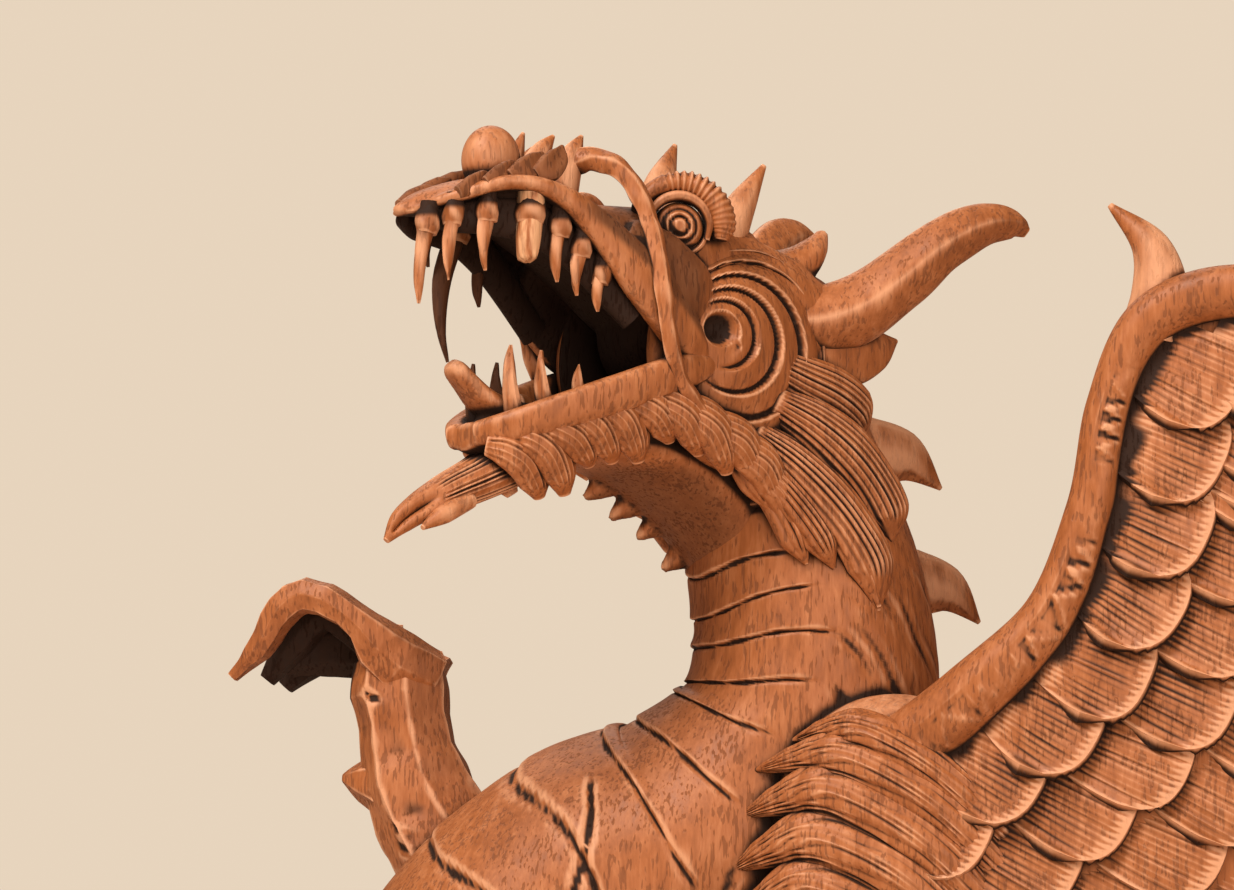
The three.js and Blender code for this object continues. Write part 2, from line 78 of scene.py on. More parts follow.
bpy.ops.object.select_all(action="DESELECT")
bpy.ops.mesh.primitive_circle_add(vertices=96, radius=5.2, fill_type="NGON", location=(0, 0, -0.0005))
floor = bpy.context.object
floor.name = "studio_floor"
floor_paper = bpy.data.materials.new("studio_floor_paper")
floor_paper.use_nodes = True
floor_paper.node_tree.nodes["Principled BSDF"].inputs["Base Color"].default_value = (0.74, 0.62, 0.5, 1)
floor_paper.node_tree.nodes["Principled BSDF"].inputs["Roughness"].default_value = 0.8
floor.data.materials.append(floor_paper)


def softbox(name, azimuth, elevation, distance, size, power, colour):
    """A square light that looks at the head from this azimuth (0 is from the left side) and elevation"""
    lamp_data = bpy.data.lights.new(name, "AREA")
    lamp_data.size = size
    lamp_data.energy = power
    lamp_data.color = colour
    lamp = bpy.data.objects.new(name, lamp_data)
    a, e = math.radians(azimuth), math.radians(elevation)
    back = Vector((math.sin(a) * math.cos(e), -math.cos(a) * math.cos(e), math.sin(e)))
    lamp.location = Vector((0, 0, 0.25)) + back * distance
    lamp.rotation_euler = (-back).to_track_quat("-Z", "Y").to_euler()
    bpy.context.scene.collection.objects.link(lamp)


softbox("key_light", -30, 48, 1.5, 0.6, 25, (1.0, 0.9, 0.8))
softbox("fill_light", 30, 12, 2.0, 1.4, 24, (1.0, 0.88, 0.76))
softbox("back_light", 205, 50, 1.8, 1.0, 8, (1.0, 0.92, 0.82))

world = bpy.data.worlds.new("studio_backdrop")
bpy.context.scene.world = world
world.use_nodes = True
sky = world.node_tree
sky.nodes.clear()
sky_out = sky.nodes.new("ShaderNodeOutputWorld")
sky_seen = sky.nodes.new("ShaderNodeBackground")
sky_light = sky.nodes.new("ShaderNodeBackground")
sky_mix = sky.nodes.new("ShaderNodeMixShader")
sky_rays = sky.nodes.new("ShaderNodeLightPath")
sky_seen.inputs["Color"].default_value = (0.80, 0.66, 0.51, 1)
sky_seen.inputs["Strength"].default_value = 1.0
sky_light.inputs["Color"].default_value = (1.0, 0.84, 0.68, 1)
sky_light.inputs["Strength"].default_value = 0.15
sky.links.new(sky_rays.outputs["Is Camera Ray"], sky_mix.inputs[0])
sky.links.new(sky_light.outputs[0], sky_mix.inputs[1])
sky.links.new(sky_seen.outputs[0], sky_mix.inputs[2])
sky.links.new(sky_mix.outputs[0], sky_out.inputs[0])

# The serpent body: one long tapered form from the nape, down the breast and once round the base to the
# tail tip. Belly plates are cut across its front, each lower edge split open a little where the wood
# shrank. Long soft grooves run down the sides of the neck, and a drying crack down the breast.
body_stations = [  # place, (half width, half depth), and the way the belly faces
    ((-4, -10, 290), (19, 19), (-0.75, -0.66, 0)),
    ((5, -5, 264), (24, 24), (-0.8, -0.6, 0)),
    ((9.5, -1, 241), (28, 28), (-0.82, -0.57, 0)),
    ((12.5, 0, 221), (29, 30), (-0.85, -0.5, 0.05)),
    ((10, 0, 198), (31, 32.5), (-0.85, -0.42, 0.25)),
    ((-9, 0, 172), (38, 38), (-0.75, -0.38, 0.5)),
    ((-40, 0, 152), (44, 44), (-0.72, -0.34, 0.5)),
    ((-61, 0, 127), (47, 46), (-0.88, -0.3, 0.15)),
    ((-65, 0, 101), (45, 44), (-0.95, -0.2, -0.15)),
    ((-49, 0, 76), (43, 40), (-0.7, -0.1, -0.65)),
    ((-14, -3, 57), (39, 36), (-0.2, 0, -1)),
    ((30, -12, 47), (34, 33), (0, 0, -1)),
    ((68, 4, 39), (28, 26), (0, 0, -1)),
    ((80, 40, 33), (23, 20), (0, 0, -1)),
    ((48, 68, 30), (19.5, 17), (0, 0, -1)),
    ((-8, 76, 28), (16.5, 15), (0, 0, -1)),
    ((-62, 60, 26), (14, 13), (0, 0, -1)),
    ((-93, 22, 24), (11.5, 10.5), (0, 0, -1)),
    ((-96, -22, 22.5), (9.5, 9.5), (0, 0, -1)),
    ((-68, -62, 21), (8.5, 8), (0, 0, -1)),
    ((-18, -78, 21), (7, 7), (0, 0, -1)),
    ((32, -74, 24), (5.5, 5.5), (0.3, 0, -1)),
    ((58, -62, 38), (4, 4), (1, 0, -0.3)),
    ((60, -54, 56), (1.2, 1.2), (1, 0, 0)),
]
body_line = np.array([place for place, _, _ in body_stations], float)
body_sizes = np.array([size for _, size, _ in body_stations], float)
body_facing = np.array([belly for _, _, belly in body_stations], float)
belt_first, belt_last, belt_count = 0.058, 0.468, 18
belt_edges = np.linspace(belt_first, belt_last, belt_count)
belt_step, belt_cut, belt_half_angle = 0.9, 1.5, math.radians(74)
groove_spacing, groove_half_width, groove_depth = 0.012, 0.25, 0.85


def through(points, at):
    """Places on the smooth line through the points, at is 0 at its start and 1 at its end"""
    knots = np.asarray(points, float)
    knots = np.vstack([2 * knots[:1] - knots[1:2], knots, 2 * knots[-1:] - knots[-2:-1]])
    span_count = len(knots) - 3
    reached = np.clip(np.asarray(at, float), 0, 1) * span_count
    span = np.minimum(reached.astype(int), span_count - 1)
    share = (reached - span)[:, None]
    before, start, end, after = knots[span], knots[span + 1], knots[span + 2], knots[span + 3]
    gap = np.sqrt(np.linalg.norm(end - start, axis=1))
    gap = np.where(gap < 1e-2, 1.0, gap)
    gap_before, gap_after = (np.where(side_gap < 1e-2, gap, side_gap)[:, None] for side_gap in (
        np.sqrt(np.linalg.norm(start - before, axis=1)), np.sqrt(np.linalg.norm(after - end, axis=1))))
    gap = gap[:, None]
    leave = ((start - before) / gap_before - (end - before) / (gap_before + gap) + (end - start) / gap) * gap
    arrive = ((end - start) / gap - (after - start) / (gap + gap_after) + (after - end) / gap_after) * gap
    curve = start + leave * share + (3 * (end - start) - 2 * leave - arrive) * share**2
    return curve + (2 * (start - end) + leave + arrive) * share**3


def unit(ways):
    return ways / np.maximum(np.linalg.norm(ways, axis=-1, keepdims=True), 1e-9)


def axes_along(points, facing, at):
    """Centre, direction, sideways and outward (facing) unit vectors of a form at each station"""
    centre = through(points, at)
    along = unit(through(points, np.clip(at + 1e-3, 0, 1)) - through(points, np.clip(at - 1e-3, 0, 1)))
    facing = np.asarray(facing, float)
    out = through(facing, at) if facing.ndim == 2 else np.broadcast_to(facing, centre.shape)
    side = unit(np.cross(out, along))
    return centre, along, side, np.cross(along, side)


def vertices_of(piece):
    flat = np.empty(len(piece.data.vertices) * 3)
    piece.data.vertices.foreach_get("co", flat)
    return flat.reshape(-1, 3)


def set_vertices(piece, places):
    piece.data.vertices.foreach_set("co", np.asarray(places, np.float32).ravel())
    piece.data.update()


def drawn(points, sizes, facing=(0, 0, 1), around=12, along=16, stations=None, power=2.0, relief=None):
    """A closed form drawn out along a smooth line: a round primitive whose rings are spread along the line.
    sizes holds (half width, half depth) at each point, facing is the way of the depth, a power over 2
    makes the section squarer, and relief gives how far the surface stands proud, in millimetres."""
    bpy.ops.object.select_all(action="DESELECT")
    bpy.ops.mesh.primitive_uv_sphere_add(segments=around, ring_count=along)
    piece = bpy.context.object
    sphere = vertices_of(piece)
    ring = np.round(np.arccos(np.clip(-sphere[:, 2], -1, 1)) / math.pi * along).astype(int)
    if stations is None:
        stations = np.linspace(0, 1, along - 1)
    at = np.asarray(stations)[np.clip(ring - 1, 0, along - 2)]
    pole = (ring == 0) | (ring == along)
    turn = np.arctan2(sphere[:, 1], sphere[:, 0])
    centre, _, side, out = axes_along(points, facing, at)
    size = np.maximum(through(sizes, at), 0.15)
    squash = (np.abs(np.cos(turn)) ** power + np.abs(np.sin(turn)) ** power) ** (-1 / power)
    x, y = np.cos(turn) * squash * size[:, 0], np.sin(turn) * squash * size[:, 1]
    if relief is not None:
        nx, ny = np.cos(turn) / size[:, 0], np.sin(turn) / size[:, 1]
        scale = np.hypot(nx, ny)
        proud = relief(at, turn, x, y, size)
        x, y = x + proud * nx / scale, y + proud * ny / scale
    x, y = np.where(pole, 0, x), np.where(pole, 0, y)
    set_vertices(piece, (centre + side * x[:, None] + out * y[:, None]) * MM)
    return piece


def waves(places, length, seed, octaves=3):
    """Smooth seeded unevenness, about -1 to 1, over places in millimetres"""
    draw = np.random.default_rng(seed)
    total, weight = np.zeros(len(places)), 0.0
    for octave in range(octaves):
        for _ in range(5):
            way = unit(draw.normal(size=3)) * 2 * math.pi / length * 2**octave * draw.uniform(0.7, 1.4)
            total += np.sin(places @ way + draw.uniform(0, 2 * math.pi)) / 1.7**octave
        weight += 2.0 / 1.7**octave
    return total / weight


def ramp(x, low, high):
    """0 below low, 1 above high and smooth between"""
    w = np.clip((x - low) / (high - low), 0, 1)
    return w * w * (3 - 2 * w)


def normals_of(piece):
    flat = np.empty(len(piece.data.vertices) * 3)
    piece.data.vertex_normals.foreach_get("vector", flat)
    return flat.reshape(-1, 3)


carved_pieces = []


def kept(piece):
    """Finishes a piece: faces shaded smooth except at knife-cut edges, on the one body, in the one wood"""
    bpy.ops.object.select_all(action="DESELECT")
    piece.select_set(True)
    bpy.context.view_layer.objects.active = piece
    bpy.ops.object.shade_smooth_by_angle(angle=math.radians(46))
    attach(piece, "root")
    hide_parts("naga_statue")
    carved_pieces.append(piece)


def body_relief(at, turn, x, y, size):
    """Belly plates that thicken to their split lower edges, and soft grooves down the sides of the neck"""
    to_belly = np.abs((turn - math.pi / 2 + math.pi) % (2 * math.pi) - math.pi)
    reach = belt_half_angle + math.radians(9) * np.sin(at * 61)
    on_belly = 1 - ramp(to_belly, reach - 0.25, reach)
    proud = np.zeros(len(at))
    shift = 0.0035 * (np.cos(2.4 * (turn - 0.5)) - 0.2) + 0.0012 * np.sin(5 * turn + 40 * at)
    place = at + shift
    spacing = belt_edges[1] - belt_edges[0]
    phase = (place - belt_edges[0]) / spacing
    inside = (place > belt_edges[0] - spacing) & (place < belt_edges[-1] + 0.004)
    within = phase - np.floor(phase)
    proud += np.where(inside, belt_step * within**2 * on_belly, 0)
    ragged = 0.046 + 0.014 * np.sin(17 * turn + 3 * np.floor(phase + 0.5))
    gap = np.abs(phase - np.round(phase))
    split = np.clip(1 - gap / ragged, 0, 1)
    proud -= np.where(inside, belt_cut * split * on_belly, 0)
    flow = (at - 0.06 * (to_belly - 1.25) + 0.0022 * np.sin(5 * to_belly + 45 * at)) / groove_spacing
    on_flank = ramp(to_belly, 1.3, 1.5) * (1 - ramp(to_belly, 2.5, 2.9))
    on_flank = on_flank * ramp(at, 0.09, 0.12) * (1 - 0.6 * ramp(at, 0.24, 0.3))
    strong = 0.55 + 0.45 * np.sin(2.6 * np.round(flow) + 5 * to_belly)
    valley = np.exp(-((flow - np.round(flow)) / groove_half_width) ** 2) * strong
    proud -= groove_depth * on_flank * valley
    return proud


along_rows = np.concatenate([
    np.linspace(0, 0.31, 320, endpoint=False),
    np.linspace(0.31, 0.48, 80, endpoint=False),
    np.linspace(0.48, 1, 120),
])
body = drawn(
    body_line, body_sizes, body_facing, around=140, along=len(along_rows) + 1, stations=along_rows,
    relief=body_relief)
body.name = "serpent_body"
places = vertices_of(body) / MM
set_vertices(body, (places + normals_of(body) * (0.35 * waves(places, 34, 1))[:, None]) * MM)
# the skin is eased a little, and only then is the crack cut, so that it stays sharp
worn_smooth = body.modifiers.new("worn_smooth", "SMOOTH")
worn_smooth.factor, worn_smooth.iterations = 0.5, 3
bpy.ops.object.modifier_apply(modifier=worn_smooth.name)
breast_crack = through(
    [(-37, 0, 186), (-35.5, 0, 178), (-36.2, 0, 170), (-38.6, 0, 160)], np.linspace(0, 1, 50))
crack_depth, crack_half_width = 1.3, 1.0
places, normals = vertices_of(body) / MM, normals_of(body)
apart = np.linalg.norm(places[:, None, [0, 2]] - breast_crack[None, :, [0, 2]], axis=2).min(1)
cut_in = crack_depth * np.clip(1 - apart / crack_half_width, 0, 1) * (places[:, 1] < -6)
set_vertices(body, (places - normals * cut_in[:, None]) * MM)
kept(body)

# Hooked fins down the back, largest at the nape, each with a hollow ground into its rear face.
spine_count = 9
for i in range(spine_count):
    at = np.array([0.05 + 0.054 * i + 0.005 * i * i])
    centre, along, _, belly = (v[0] for v in axes_along(body_line, body_facing, at))
    deep = through(body_sizes, at)[0, 1]
    tall = 21 + (8 - 21) * i / (spine_count - 1)
    root = centre - belly * (deep - 4)
    crown = root - belly * tall * 0.66 + along * tall * 0.2
    tip = root - belly * tall * 1.02 + along * tall * 0.66
    spine = drawn(
        [root + belly * 2, root - belly * tall * 0.25 + along * tall * 0.05, crown, tip],
        [(3.6, tall * 0.54), (3.3, tall * 0.46), (2.7, tall * 0.33), (0.5, 0.6)],
        along, around=20, along=26, power=1.7,
        relief=lambda at, turn, x, y, size: -0.9 * ramp(np.sin(turn), 0.2, 0.9) * np.sin(math.pi * at) ** 0.7,
    )
    spine.name = f"back_spine_{i + 1}"
    kept(spine)

# The wings: a bone like a bent arm along the leading edge, cut with a row of small knife facets, a claw at
# its wrist, and round-ended feathers like roof tiles, each combed with a fine gouge along its length.
wing_edge = np.array([
    (40, 190), (55, 205), (71, 219), (82, 241), (87.5, 262),
    (92, 283), (104, 296), (124, 298), (146, 288), (160, 272),
], float)
wing_tips = np.array([
    (66, 120), (96, 112), (124, 120), (146, 138), (162, 162),
    (172, 188), (178, 214), (180, 236), (178, 254), (170, 268),
], float)
wing_thickness, wing_flare = 5.0, 0.09
feather_slope = math.radians(-27)
feather_long, feather_half = 33.0, 11.5
feather_from_bone, feather_across_bone, feather_down_bone = 16.0, 20.0, 17.6
feather_lifts = (6.6, 5.4, 4.6, 4.0, 3.5, 3.1)  # of each column, from the bone outwards
feather_wall, feather_deepest = 2.8, -1.5
rim_feather_count = 15
comb_depth = 0.24
rng = np.random.default_rng(7)


def joined(pieces, name):
    """One mesh object from several"""
    bpy.ops.object.select_all(action="DESELECT")
    for piece in pieces:
        piece.select_set(True)
    bpy.context.view_layer.objects.active = pieces[0]
    if len(pieces) > 1:
        bpy.ops.object.join()
    pieces[0].name = pieces[0].data.name = name
    return pieces[0]


def fused(pieces, name, grain, smoothing=0):
    """Several overlapping forms cut as one skin: joined, remeshed to this grain in millimetres and eased"""
    piece = joined(pieces, name)
    skin = piece.modifiers.new("skin", "REMESH")
    skin.mode, skin.voxel_size = "VOXEL", grain * MM
    bpy.ops.object.modifier_apply(modifier=skin.name)
    if smoothing:
        ease = piece.modifiers.new("ease", "SMOOTH")
        ease.factor, ease.iterations = 0.5, smoothing
        bpy.ops.object.modifier_apply(modifier=ease.name)
    return piece


def wing_out(x):
    return 38 + (x - 40) * wing_flare


def flat_line(points, at):
    """A smooth line in the plane of the wing, as (x, z)"""
    points = np.asarray(points, float)
    return through(np.column_stack([points[:, 0], 0 * points[:, 0], points[:, 1]]), at)[:, [0, 2]]


def comb(x, spacing, depth, cut=0.34):
    """Depth of fine parallel gouge lines at x"""
    gap = np.abs(x / spacing - np.round(x / spacing))
    return -depth * np.clip(1 - gap / cut, 0, 1)


def marked(piece, name, share):
    """Writes a share from 0 to 1 at each vertex, which the finish reads later"""
    layer = piece.data.attributes.new(name, "FLOAT", "POINT")
    layer.data.foreach_set("value", np.asarray(share, np.float32))


def mark_of(piece, name):
    share = np.empty(len(piece.data.vertices))
    piece.data.attributes[name].data.foreach_get("value", share)
    return share


def paint_shade_on(piece, share):
    """Marks painted shade, dark up to nearly black in the finish, such as the inside of the mouth"""
    marked(piece, "painted_shade", share)


def feather(tip_x, tip_z, slope, long, half, lift, side, columns, rows):
    """One feather: straight comb lines run out over its round end. Its lower edge and its end stand proud,
    its upper edge and its root sink under the feathers above and before it."""
    bpy.ops.object.select_all(action="DESELECT")
    bpy.ops.mesh.primitive_grid_add(x_subdivisions=rows, y_subdivisions=columns, size=2)
    piece = bpy.context.object
    flat = vertices_of(piece)
    share = ((flat[:, 0] + 1) / 2) ** 0.7
    line_number = np.round((flat[:, 1] + 1) / 2 * columns).astype(int)
    across = flat[:, 1] * half
    blunt = 2.4 + rng.uniform(-0.2, 0.3)
    corner = half * rng.uniform(1.0, 1.15)
    edge = np.abs(across - half * 0.1) / (half * 1.1)
    reach = long - corner * (1 - np.clip(1 - edge**blunt, 0, 1) ** (1 / blunt))
    depth = comb_depth * rng.uniform(0.75, 1.3, columns + 1)
    wander = rng.uniform(-0.22, 0.22, columns + 1)
    across = across + wander[line_number] * np.sin(share * 2.5)
    groove = np.where(line_number % 2 == 1, depth[line_number], 0.0)
    groove *= ramp(share, 0.05, 0.2)
    run = share * reach - long
    tilt = -1.9 * across / half * (0.35 + 0.65 * share)
    ripple = 0.35 * np.sin(share * 5 + columns + tip_x)
    proud = lift - 3.0 + 3.0 * share - 0.8 * edge**4 + tilt + ripple - groove
    across = across * np.where(across < 0, 0.74 + 0.26 * np.sin(share * 1.57), 0.9 + 0.1 * share)
    x = tip_x + run * math.cos(slope) - across * math.sin(slope)
    z = tip_z + run * math.sin(slope) + across * math.cos(slope)
    set_vertices(piece, np.column_stack([x, -side * (wing_out(x) + proud), z]) * MM)
    if side < 0:
        bpy.ops.object.mode_set(mode="EDIT")
        bpy.ops.mesh.select_all(action="SELECT")
        bpy.ops.mesh.flip_normals()
        bpy.ops.object.mode_set(mode="OBJECT")
    outer = len(piece.data.vertices)
    wall = piece.modifiers.new("wall", "SOLIDIFY")
    wall.thickness, wall.offset = feather_wall * MM, -1
    bpy.ops.object.modifier_apply(modifier=wall.name)
    places = vertices_of(piece) / MM
    sunk_in_painted_shade = np.arange(len(places)) >= outer
    stands = -side * places[:, 1] - wing_out(places[:, 0])
    stands = np.where(sunk_in_painted_shade, np.maximum(stands, feather_deepest), stands)
    places[:, 1] = -side * (wing_out(places[:, 0]) + stands)
    set_vertices(piece, places * MM)
    # painted shade: the underside wall of each feather is painted nearly black, as the shadow under the
    # feather
    paint_shade_on(piece, sunk_in_painted_shade)
    return piece


def inside_outline(place, outline):
    """Whether a place lies inside a closed outline"""
    x, z = outline[:, 0], outline[:, 1]
    next_x, next_z = np.roll(x, -1), np.roll(z, -1)
    level_with = (z > place[1]) != (next_z > place[1])
    before = place[0] < (next_x - x) * (place[1] - z) / (next_z - z + 1e-12) + x
    return (level_with & before).sum() % 2 == 1


def wing(side, name):
    fan = np.linspace(0, 1, 60)
    edge, tips = flat_line(wing_edge, fan), flat_line(wing_tips, fan)
    core_tips = edge + (tips - edge) * 0.93
    outline = np.vstack([edge, core_tips[::-1]])
    bpy.ops.object.select_all(action="DESELECT")
    bpy.ops.mesh.primitive_circle_add(vertices=len(outline), radius=1, fill_type="NGON")
    core = bpy.context.object
    set_vertices(core, np.column_stack([outline[:, 0], 0 * outline[:, 0], outline[:, 1]]) * MM)
    wall = core.modifiers.new("wall", "SOLIDIFY")
    wall.thickness, wall.offset = wing_thickness * MM, 0
    bpy.ops.object.modifier_apply(modifier=wall.name)
    core = fused([core], name + "_web", 2.4, smoothing=2)
    flat = vertices_of(core) / MM
    flat[:, 1] = flat[:, 1] - side * wing_out(flat[:, 0])
    set_vertices(core, flat * MM)
    kept(core)

    reach = flat_line(wing_edge, np.linspace(0, 1, 400))
    heading = unit(np.gradient(reach, axis=0))
    run_in = reach[:1] - heading[:1] * np.linspace(45, 1, 40)[:, None]
    reach = np.vstack([run_in, reach])
    heading = np.vstack([np.repeat(heading[:1], 40, axis=0), heading])
    normal = np.column_stack([heading[:, 1], -heading[:, 0]])
    outside = np.vstack([edge, tips[::-1]])
    feathers = []
    for column in range(len(feather_lifts)):
        row_line = reach + normal * (feather_from_bone + feather_across_bone * column)
        walk = np.concatenate([[0], np.cumsum(np.linalg.norm(np.diff(row_line, axis=0), axis=1))])
        first = 6 if side > 0 else 40 + column * 6
        for d in np.arange(first + feather_down_bone * 0.5 * (column % 2), walk[-1], feather_down_bone):
            centre = np.array([np.interp(d, walk, row_line[:, 0]), np.interp(d, walk, row_line[:, 1])])
            slope = feather_slope + math.radians(rng.uniform(-4, 4))
            tip = centre + np.array([math.cos(slope), math.sin(slope)]) * 12
            offset = feather_from_bone + feather_across_bone * column
            wraps_back = np.linalg.norm(reach - centre, axis=1).min() < 0.75 * offset
            if inside_outline(tip, outside) and not wraps_back:
                feathers.append((column, d, tip, slope))
    feathers.sort(key=lambda f: (-f[0], f[1]))
    made = []
    fine = 30 if side > 0 else 12
    for column, d, tip, slope in feathers:
        lift, long = feather_lifts[column], 25.5 if column == 0 else feather_long
        made.append(feather(tip[0], tip[1], slope, long, feather_half, lift, side, fine, fine // 3))
    for n in range(rim_feather_count):
        share = 0.02 + 0.96 * n / (rim_feather_count - 1)
        root, tip = flat_line(wing_edge, [share])[0], flat_line(wing_tips, [share])[0]
        ahead = unit(tip - root)
        slope = math.atan2(ahead[1], ahead[0])
        long = min(44, np.linalg.norm(tip - root) - 4)
        made.append(feather(tip[0], tip[1], slope, long, 9.4, 2.6, side, fine - 4, fine // 3))
    feather_skin = joined(made, name + "_feathers")
    # painted shade: feathers within about 8 mm of the leading edge are painted dark, as the shade of the
    # undercut below the bone
    flat = (vertices_of(feather_skin) / MM)[:, [0, 2]]
    from_bone = np.full(len(flat), 99.0)
    for p in edge[:52]:
        from_bone = np.minimum(from_bone, np.linalg.norm(flat - p, axis=1))
    painted_shade = np.maximum(mark_of(feather_skin, "painted_shade"), 1 - ramp(from_bone, 7.6, 9.0))
    feather_skin.data.attributes["painted_shade"].data.foreach_set("value", painted_shade.astype(np.float32))
    kept(feather_skin)

    bone_share = np.linspace(0, 1, 9)[1:]
    edge_points = flat_line(wing_edge, bone_share)
    route = [(18, -side * 29, 184), (36, -side * 35.5, 191)]
    route += [(x, -side * (wing_out(x) + 1.5), z) for x, z in edge_points]
    sizes = [(5, 7), (8.6, 8.6), (8, 8.5), (6.6, 7.5), (5.6, 7),
             (5.4, 6.6), (6.2, 6.8), (6.4, 6.8), (5, 6), (2.6, 4.5)]

    def knifed(at, turn, x, y, size):
        """A row of small three-sided knife cuts down the outer face, long flats and a little unevenness"""
        row_middle, row_half, bone_length, cut_spacing, cut_depth = -side * 1.1, 0.62, 205, 6.2, 0.8
        across = (turn - row_middle) / row_half
        cut_number = at * bone_length / cut_spacing + 0.35 * np.sin(at * 47)
        zigzag = 2 * np.abs(cut_number - np.floor(cut_number) - 0.5)
        inside = np.clip((1.8 * zigzag - 0.9 - across) / 0.55, 0, 1)
        row = (1 - ramp(np.abs(across), 0.9, 1.3)) * ramp(at, 0.12, 0.2) * (1 - ramp(at, 0.56, 0.66))
        cuts = -cut_depth * row * inside * (0.6 + 0.4 * np.sin(5.3 * np.floor(cut_number)))
        return cuts + 0.2 * np.sin(31 * at + 2 * turn) * np.sin(13 * at - turn)

    around, along = (64, 240) if side > 0 else (32, 110)
    bone = drawn(route, sizes, (0, 1, 0), around=around, along=along, power=2.2, relief=knifed)
    claw = drawn(
        [(99, -side * 43, 288), (101, -side * 42.7, 299), (99, -side * 42.2, 310), (89.5, -side * 41, 320.5)],
        [(5.8, 8), (4.6, 6.8), (3.2, 4.6), (0.6, 0.7)], (1, 0, 0), around=20, along=30, power=1.8,
    )
    kept(joined([bone, claw], name + "_bone"))


wing(1, "left_wing")
wing(-1, "right_wing")

# The head, turned 47 degrees to the figure's left. Its own directions are forward along the snout, to its
# left and up. The skull, the snout and the overhanging upper lip were roughed out as one mass, then cut
# with a fine V tool and eased with a scraper.
head_place = np.array([-3, -6, 305], float)
head_turn = math.radians(47)
head_axes = np.array([
    (-math.cos(head_turn), -math.sin(head_turn), 0),
    (math.sin(head_turn), -math.cos(head_turn), 0),
    (0, 0, 1),
])


def on_head(points, side=1):
    return (np.asarray(points, float) * (1, side, 1)) @ head_axes + head_place


def head_way(way, side=1):
    return (np.asarray(way, float) * (1, side, 1)) @ head_axes


def head_drawn(points, sizes, facing=(0, 0, 1), side=1, **more):
    return drawn(on_head(points, side), sizes, head_way(facing, side), **more)


both_sides = (1, -1)


def head_pair(points, sizes, facing=(0, 1, 0), **more):
    """The same form on the left and on the right of the head"""
    return [head_drawn(points, sizes, facing, side, **more) for side in both_sides]


def turned_out():
    """Turns the faces of the piece in hand outward"""
    bpy.ops.object.mode_set(mode="EDIT")
    bpy.ops.mesh.select_all(action="SELECT")
    bpy.ops.mesh.normals_make_consistent(inside=False)
    bpy.ops.object.mode_set(mode="OBJECT")


def lump(centre, halves, around=32, along=24):
    """A rounded lump on the head with its own half lengths"""
    bpy.ops.object.select_all(action="DESELECT")
    bpy.ops.mesh.primitive_uv_sphere_add(segments=around, ring_count=along)
    piece = bpy.context.object
    set_vertices(piece, on_head(vertices_of(piece) * halves + centre) * MM)
    turned_out()
    return piece


skull = lump((5, 0, -11), (36, 26, 22))
snout = head_drawn(
    [(14, 0, 0), (30, 0, 4), (45, 0, 8.5), (58, 0, 12.5),
     (70, 0, 17), (82, 0, 18.2), (94, 0, 15.8), (102, 0, 13.4)],
    [(24, 18), (23.5, 17), (20.5, 11), (19, 6.5), (17.5, 5), (13, 4.4), (8, 3.2), (1.4, 1.1)],
    around=40, along=60, power=2.4,
)
upper_lips = head_pair(
    [(31, 24.3, -20), (38, 25.3, -13.5), (48, 25, -2.5), (58.5, 23, 8.8), (70, 20.5, 17.4),
     (80.5, 17, 19.8), (91, 10.5, 16.8), (100, 2, 13.2)],
    [(2.6, 2), (5.4, 3.4), (6, 3.2), (4.4, 3), (2.4, 3.2), (1.8, 3.4), (1.7, 3.2), (0.9, 1.4)],
    around=28, along=70, power=2.6)
cheek_planes = head_pair(
    [(52, 19.5, 8), (44, 22, 2), (37, 23.5, -4), (30, 23, -9)],
    [(7, 4), (10, 4.5), (10, 4), (7, 2)], around=28, along=30, power=2.6)
temples = head_pair(
    [(30, 12, 7), (20, 14, 5), (8, 16, 0), (-6, 17, -6)], [(8, 8), (10, 9), (11, 9), (9, 9)])
back_ridge = [
    head_drawn(
        [(21, 10, 6), (11, 12, 5.5), (2, 14, 4.5), (-4, 15.5, 7), (-8.5, 16.5, 11.5),
         (-11, 17, 16 if side > 0 else 9)],
        [(6, 6), (6, 6), (6, 6), (5.2, 5.2), (3.4, 3.8), (1.1, 1.4)], (0, 1, 0), side, around=24, along=36,
    )
    for side in both_sides
]
head_core = fused(
    [skull, snout, *upper_lips, *cheek_planes, *temples, *back_ridge], "head_core", 0.86, smoothing=2)


def head_local(piece):
    """The vertices in the head's own directions, with both sides folded onto the left"""
    local = (vertices_of(piece) / MM - head_place) @ head_axes.T
    return local[:, 0], np.abs(local[:, 1]), local[:, 2]


# painted shade: the inside of the mouth and the side of the snout above the lip are painted dark, as the
# shade that falls there
a, b, c = head_local(head_core)
cheek_wall = np.interp(a, (26, 48, 58, 70, 80, 92, 101), (24, 24.5, 22, 19, 15.5, 9, 2))
roof = np.interp(a, (14, 30, 45, 58, 70, 82, 94, 101), (0, 4, 8.5, 12.5, 16.5, 17.5, 15, 13))
in_mouth = ramp(cheek_wall - b, 0, 0.8) * ramp(roof - c, 0, 1.5) * ramp(a, 8, 14)
above_lip = c - np.interp(a, (31, 38, 48, 60, 72), (-19.5, -12.5, -2, 7.5, 13.5))
snout_side = 0.5 * ramp(a, 24, 36) * (1 - ramp(a, 60, 72)) * ramp(above_lip, 0, 4) * (1 - ramp(c, 14, 22))
paint_shade_on(head_core, np.maximum(in_mouth, snout_side))
kept(head_core)

